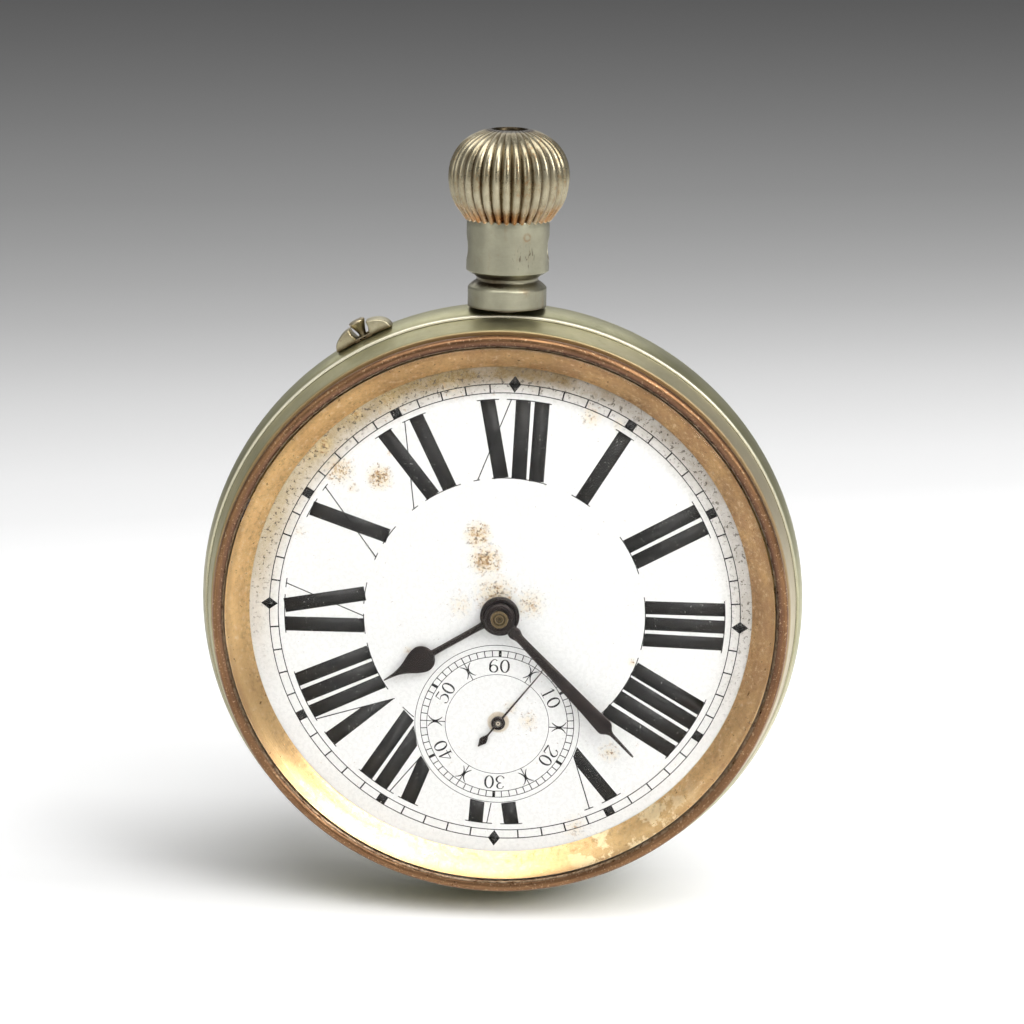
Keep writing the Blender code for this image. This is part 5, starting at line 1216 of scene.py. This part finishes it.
def bandSides(place, spots, colour):
    # The band is darker low at the left (painted shade) and paler low at the right (painted light), and its
    # lip carries a painted highlight, strongest at the top.
    radius, x, z = dialPolar(place)
    height = apart(place)["Y"]
    # painted shade at the lower left, painted light at the lower right
    left = times(spreadMm(x, -18.0, -30.0), spreadMm(z, 10.0, -6.0))
    colour = mixed(times(left, 0.6), colour, (0.24, 0.2, 0.12))
    right = times(spreadMm(x, 18.0, 28.0), spreadMm(z, -4.0, -14.0))
    colour = mixed(times(right, 0.4), colour, (0.8, 0.72, 0.58))
    # painted highlight along the lip, stronger towards the top
    lipHighlight = times(spreadMm(height, -12.35, -12.5), spreadMm(radius, 31.4, 31.6))
    lipHighlight = times(lipHighlight, spreadMm(z, 0.0, 26.0, 0.1, 0.95))
    return mixed(lipHighlight, colour, (1.0, 0.95, 0.76))


def bezelSheenAndFoot(place, spots, colour):
    # The slope turns from olive at the top and left to paler beige at the right, which is painted light,
    # and is ochre at the bead's foot.
    radius, x, z = dialPolar(place)
    # painted light: the slope paler and beige towards the right
    right = spreadMm(minus(x, times(z, 0.5)), -8.0, 24.0)
    colour = mixed(times(right, 0.75), colour, (0.64, 0.56, 0.42))
    foot = spreadMm(radius, 30.9, 30.72)
    return mixed(times(foot, 0.8), colour, (0.36, 0.23, 0.1))


finishes = {
    "caseNickel": {"base": (0.5, 0.48, 0.29), "shade": (0.36, 0.35, 0.21), "dirt": (0.1, 0.075, 0.035),
                   "bright": (1.0, 0.95, 0.76), "rust": (0.14, 0.08, 0.035), "rough": (0.32, 0.46),
                   "grain": 110.0, "specks": 0.32, "edge": 0.16, "edgeRubAndShine": 1.0, "lineTint": 0.15,
                   "extra": bandSides},
    "guardNickel": {"base": (0.56, 0.52, 0.37), "shade": (0.37, 0.32, 0.2), "dirt": (0.06, 0.035, 0.018),
                    "bright": (0.9, 0.84, 0.64), "rust": (0.16, 0.09, 0.04), "rough": (0.34, 0.5),
                    "grain": 420.0, "specks": 0.5, "edge": 0.16, "lineTint": 0.0, "lineBump": 0.0,
                    "late": guardDirt},
    "bezelNickel": {"base": (0.5, 0.465, 0.28), "shade": (0.36, 0.345, 0.21), "dirt": (0.12, 0.08, 0.03),
                    "bright": (0.85, 0.72, 0.46), "rust": (0.12, 0.06, 0.025), "rough": (0.42, 0.56),
                    "grain": 130.0, "specks": 0.35, "edge": 0.12, "lineTint": 0.12, "extra": bezelSheenAndFoot},
    "pendantNickel": {"base": (0.4, 0.385, 0.28), "shade": (0.28, 0.27, 0.2), "dirt": (0.07, 0.045, 0.02),
                      "bright": (0.88, 0.82, 0.64), "rust": (0.34, 0.17, 0.06), "rough": (0.32, 0.46),
                      "grain": 190.0, "specks": 0.36, "edge": 0.16, "lineTint": 0.08, "reach": 1.6,
                      "hollow": 0.5, "extra": olderNickel, "late": grooveStainAndFootShade},
    "crownNickel": {"base": (0.44, 0.395, 0.28), "shade": (0.26, 0.225, 0.14),
                    "dirt": (0.085, 0.052, 0.025), "bright": (0.95, 0.85, 0.64), "rust": (0.4, 0.18, 0.06),
                    "rough": (0.24, 0.38), "grain": 330.0, "specks": 0.3, "edge": 0.22, "reach": 0.6,
                    "extra": brassShowing, "late": crownDirtAndShade, "lineTint": 0.05, "lineBump": 0.0,
                    "hollow": 0.5, "edgeRubAndShine": 0.7},
    "rimCopper": {"base": (0.37, 0.2, 0.095), "shade": (0.22, 0.11, 0.055), "dirt": (0.05, 0.03, 0.018),
                  "bright": (0.72, 0.47, 0.26), "rust": (0.06, 0.03, 0.018), "rough": (0.26, 0.42),
                  "grain": 200.0, "specks": 0.3, "edge": 0.1, "extra": stripedBead, "lineTint": 0.6,
                  "lineBump": 1.2, "pitch": 7500.0},
    "flangeGilt": {"base": (0.95, 0.64, 0.29), "shade": (0.72, 0.45, 0.2), "dirt": (0.16, 0.09, 0.04),
                   "bright": (1.0, 0.85, 0.58), "rust": (0.14, 0.075, 0.03), "rough": (0.26, 0.44),
                   "grain": 210.0, "specks": 0.3, "edge": 0.08, "extra": flangeShadeAndMottle, "lineTint": 0.1,
                   "bump": 0.6},
    # the hands' bright edges are mostly a painted highlight along their edges
    "handsDark": {"base": (0.022, 0.015, 0.013), "shade": (0.013, 0.009, 0.008),
                  "dirt": (0.006, 0.005, 0.004), "bright": (0.4, 0.35, 0.3), "rust": (0.2, 0.15, 0.11),
                  "rough": (0.3, 0.5), "grain": 700.0, "metallic": 0.7, "specks": 0.5, "edge": 0.08,
                  "lineTint": 0.0, "lineBump": 0.0, "extra": hubShowing},
    "pinBrass": {"base": (0.46, 0.4, 0.27), "shade": (0.28, 0.23, 0.14), "dirt": (0.06, 0.04, 0.02),
                 "bright": (0.85, 0.74, 0.5), "rust": (0.2, 0.1, 0.03), "rough": (0.28, 0.42),
                 "grain": 400.0, "specks": 0.36, "edge": 0.12, "lineTint": 0.0, "lineBump": 0.0},
    "pinionBronze": {"base": (0.2, 0.15, 0.075), "shade": (0.12, 0.085, 0.045), "dirt": (0.03, 0.02, 0.01),
                     "bright": (0.6, 0.42, 0.22), "rust": (0.1, 0.05, 0.02), "rough": (0.3, 0.46),
                     "grain": 500.0, "specks": 0.36, "edge": 0.1, "lineTint": 0.2, "lineBump": 0.2,
                     "extra": pinionRings},
    "movementBrass": {"base": (0.66, 0.46, 0.2), "shade": (0.5, 0.33, 0.13), "dirt": (0.12, 0.07, 0.02),
                      "bright": (0.92, 0.74, 0.42), "rust": (0.2, 0.1, 0.03), "rough": (0.22, 0.36),
                      "grain": 150.0, "specks": 0.2, "edge": 0.12, "pitch": 5000.0},
    "movementSteel": {"base": (0.46, 0.46, 0.47), "shade": (0.36, 0.36, 0.37), "dirt": (0.06, 0.05, 0.045),
                      "bright": (0.8, 0.8, 0.8), "rust": (0.2, 0.12, 0.06), "rough": (0.2, 0.34),
                      "grain": 220.0, "specks": 0.18, "edge": 0.1, "lineTint": 0.1},
    "springBlue": {"base": (0.03, 0.05, 0.16), "shade": (0.05, 0.04, 0.14), "dirt": (0.01, 0.01, 0.02),
                   "bright": (0.2, 0.25, 0.45), "rust": (0.1, 0.05, 0.03), "rough": (0.18, 0.3),
                   "grain": 300.0, "specks": 0.1, "edge": 0.04, "lineTint": 0.0, "lineBump": 0.0},
}
looks = {name: metalFinish(name, v) for name, v in finishes.items()}
looks["dialEnamelWhite"] = enamelFinish()
looks["printBlack"] = inkFinish()
looks["crystalClear"] = crystalGlass()
print("finishes made:", len(looks))


# Camera at the photograph's angle, lights and floor
view = {
    # angles in degrees, then the aim, the distance and the shifts in mm
    "tilt": 13.66, "side": 1.97, "lean": 1.0, "aim": (0, -17.0, 0), "distance": 301.9, "right": 1.345,
    "up": 11.42, "lens": 100.195,
}


def makeCamera():
    # Its axes come from the tilt and the side turn, are turned by the lean, and lead back from the aim.
    e, w, lean = (math.radians(view[k]) for k in ("tilt", "side", "lean"))
    back = np.array([math.sin(w) * math.cos(e), -math.cos(w) * math.cos(e), math.sin(e)])
    right = np.array([math.cos(w), math.sin(w), 0.0])
    up = np.cross(back, right)
    turn = np.array([[math.cos(lean), 0, -math.sin(lean)], [0, 1, 0], [math.sin(lean), 0, math.cos(lean)]])
    back, right, up = turn @ back, turn @ right, turn @ up
    spot = np.array(view["aim"]) + back * view["distance"] + right * view["right"] + up * view["up"]
    data = bpy.data.cameras.new("camera")
    data.lens = view["lens"]
    data.clip_start = 0.01
    camera = placed("camera", data)
    rows = zip(np.stack([right, up, back], 1), spot * mm)
    camera.matrix_world = Matrix([(*row, place) for row, place in rows] + [(0, 0, 0, 1)])
    bpy.context.scene.camera = camera


studio = {
    "floor": -34.0, "span": 6.0,        # the paper's height in mm and half its width in m
    "world": 0.33, "ambient": 0.15,     # the world's strength as it is seen, and on matt surfaces
    "glow": 0.35, "slant": 0.29,        # the paper's own light, and how far its shade runs off to the right
    # the paper's level by the share of 2 m behind the watch
    "paper": [(0.0, 0.9), (0.025, 0.88), (0.051, 0.8), (0.0765, 0.74), (0.09, 0.675), (0.1055, 0.646),
              (0.1225, 0.59), (0.142, 0.53), (0.1645, 0.451), (0.19, 0.38), (0.2205, 0.322), (0.257, 0.277),
              (0.301, 0.2395), (0.355, 0.215), (0.4235, 0.19), (0.5135, 0.1685), (0.6355, 0.1466),
              (0.79, 0.126)],
    # name: (place, aim, width, height, power, what it lights)
    "lamps": {
        "keyRight": ((0.47, -0.46, 0.42), (0, 0, 0), 0.3, 0.4, 3.2, "all"),
        "overhead": ((0.0, -0.22, 0.7), (0, 0, 0), 0.9, 0.4, 4.2, "metal"),
        "front": ((0.45, -0.65, 1.0), (0, 0, 0), 1.6, 1.2, 24.0, "paper"),
        "fillLeft": ((-0.55, -0.45, 0.25), (0, 0, 0), 0.3, 0.5, 0.8, "metal"),
        "behind": ((-0.1, 0.65, 0.55), (0, 0, 0), 0.9, 0.5, 1.6, "metal"),
    },
}


def makeStudio():
    # The world, the lamps for all, for metal or for paper alone, and the floor.
    scene = bpy.context.scene
    scene.view_settings.view_transform = "Standard"
    world = bpy.data.worlds.new("studio")
    world.use_nodes = True
    world.node_tree.nodes["Background"].inputs[0].default_value = (1, 1, 1, 1)
    seen = seenRays(world.node_tree)
    level = spread(seen, 0.0, 1.0, studio["ambient"], studio["world"])
    wire(world.node_tree.nodes["Background"].inputs[1], level)
    scene.world = world
    for name, (place, aim, width, height, power, lit) in studio["lamps"].items():
        data = bpy.data.lights.new(name, "AREA")
        data.shape = "RECTANGLE"
        data.size, data.size_y, data.energy = width, height, power
        lamp = placed(name, data)
        lamp.visible_diffuse = lit != "metal"
        lamp.visible_glossy = lit != "paper"
        toward = Vector(place) - Vector(aim)
        lamp.matrix_world = Matrix.Translation(place) @ toward.to_track_quat("Z", "Y").to_matrix().to_4x4()
    corners = np.array([(-1, -1, 0), (1, -1, 0), (1, 1, 0), (-1, 1, 0)]) * studio["span"]
    floor = meshFrom("floor", corners + (0, 0, studio["floor"] * mm), [(0, 1, 2, 3)])
    floor.data.materials.append(floorPaper())


def seenRays(tree):
    # 1 for what the camera sees directly, in metal or through glass, 0 for the light on matt surfaces.
    path = node(tree, "LightPath").outputs
    seen = larger(path["Is Camera Ray"], path["Is Glossy Ray"])
    return larger(seen, path["Is Transmission Ray"])


def floorPaper():
    # White paper that darkens with the distance behind the watch. Further back it glows a little to the
    # camera, metal and glass; under the watch it doesn't, so that it takes the shadow.
    material, tree, shader, place = newMaterial("floorPaper", (0.86, 0.86, 0.86), 0.0, 0.9)
    split = apart(place)
    along = minus(split["Y"], times(split["X"], studio["slant"]))
    away = node(tree, "ValToRGB", {}, (0, spread(along, 0.0, 2.0)))
    ramp(away, studio["paper"])
    for name in ("Base Color", "Emission Color"):
        wire(shader.inputs[name], away.outputs["Color"])
    glow = spreadMm(split["Y"], -8.0, 22.0, 0.0, studio["glow"])
    wire(shader.inputs["Emission Strength"], times(seenRays(tree), glow))
    return material


print("making the case")
dressed(makeBand(), looks["caseNickel"], "case", ["case_band"])
for name, look, slot, replaced in (("bezelSmooth", "bezelNickel", "nickel_case", "bezel"),
                                   ("crystalRimSmooth", "rimCopper", "bead_copper", "crystal_rim"),
                                   ("dialFlangeSmooth", "flangeGilt", "gilt_flange", "dial_flange")):
    dressed(sharpened(makeCaseRing(name)), looks[look], "case", [replaced])
dressed(makeCrystal(), looks["crystalClear"], "case", ["crystal"])
cover = joined(makeDish("backCoverSmooth"), [hingeKnuckle("coverKnuckle", 0.0, (-4.6, -3.9))])
dressed(cover, looks["caseNickel"], "back_cover", ["back_cover"])
dressed(makeDish("dustCoverSmooth"), looks["movementBrass"], "case", ["dust_cover"])
for side in (-1, 1):
    knuckle = hingeKnuckle("bandKnuckle%d" % (side + 1), side * 3.2, (-5.6, -4.85))
    dressed(knuckle, looks["caseNickel"], "case")
dressed(makeNeck(), looks["pendantNickel"], "case", ["pendant_neck"])
dressed(makeCrown(), looks["crownNickel"], "crown", ["crown"])
for ear in makeGuard():
    dressed(ear, looks["guardNickel"], "case", ["pin_guard"])
dressed(makeSetPin(), looks["pinBrass"], "set_pin", ["set_pin"])
print("making the dial and hands")
dressed(makeDial(), looks["dialEnamelWhite"], "case", ["dial"])
dressed(makePrint(), looks["printBlack"], "case")
for name, body, replaced in (("hour", "hour", "hour_hand"), ("minute", "center", "minute_hand"),
                             ("seconds", "fourth", "seconds_hand")):
    dressed(makeHand(name + "HandShaped", hands[name]), looks["handsDark"], body, [replaced])
steelNames = """
    pendant_sleeve winding_stem winding_pinion back_hinge_pin case_screw_1 case_screw_2 barrel_bridge_screw_1
    barrel_bridge_screw_2 train_bridge_screw_1 train_bridge_screw_2 pallet_cock_screw balance_cock_screw
    regulator mainspring barrel_arbor escape_wheel pallet_fork balance_staff crown_wheel crown_wheel_screw
    winding_idler setting_idler ratchet_wheel ratchet_screw rocking_bar click click_screw click_spring
""".split()
otherLooks = {"hairspring": "springBlue", "cannon_pinion": "pinionBronze"}
for name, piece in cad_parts.items():
    look = "movementSteel" if name in steelNames else otherLooks.get(name, "movementBrass")
    piece.data.materials.clear()
    piece.data.materials.append(looks[look])
print("setting the camera and lights")
makeCamera()
makeStudio()
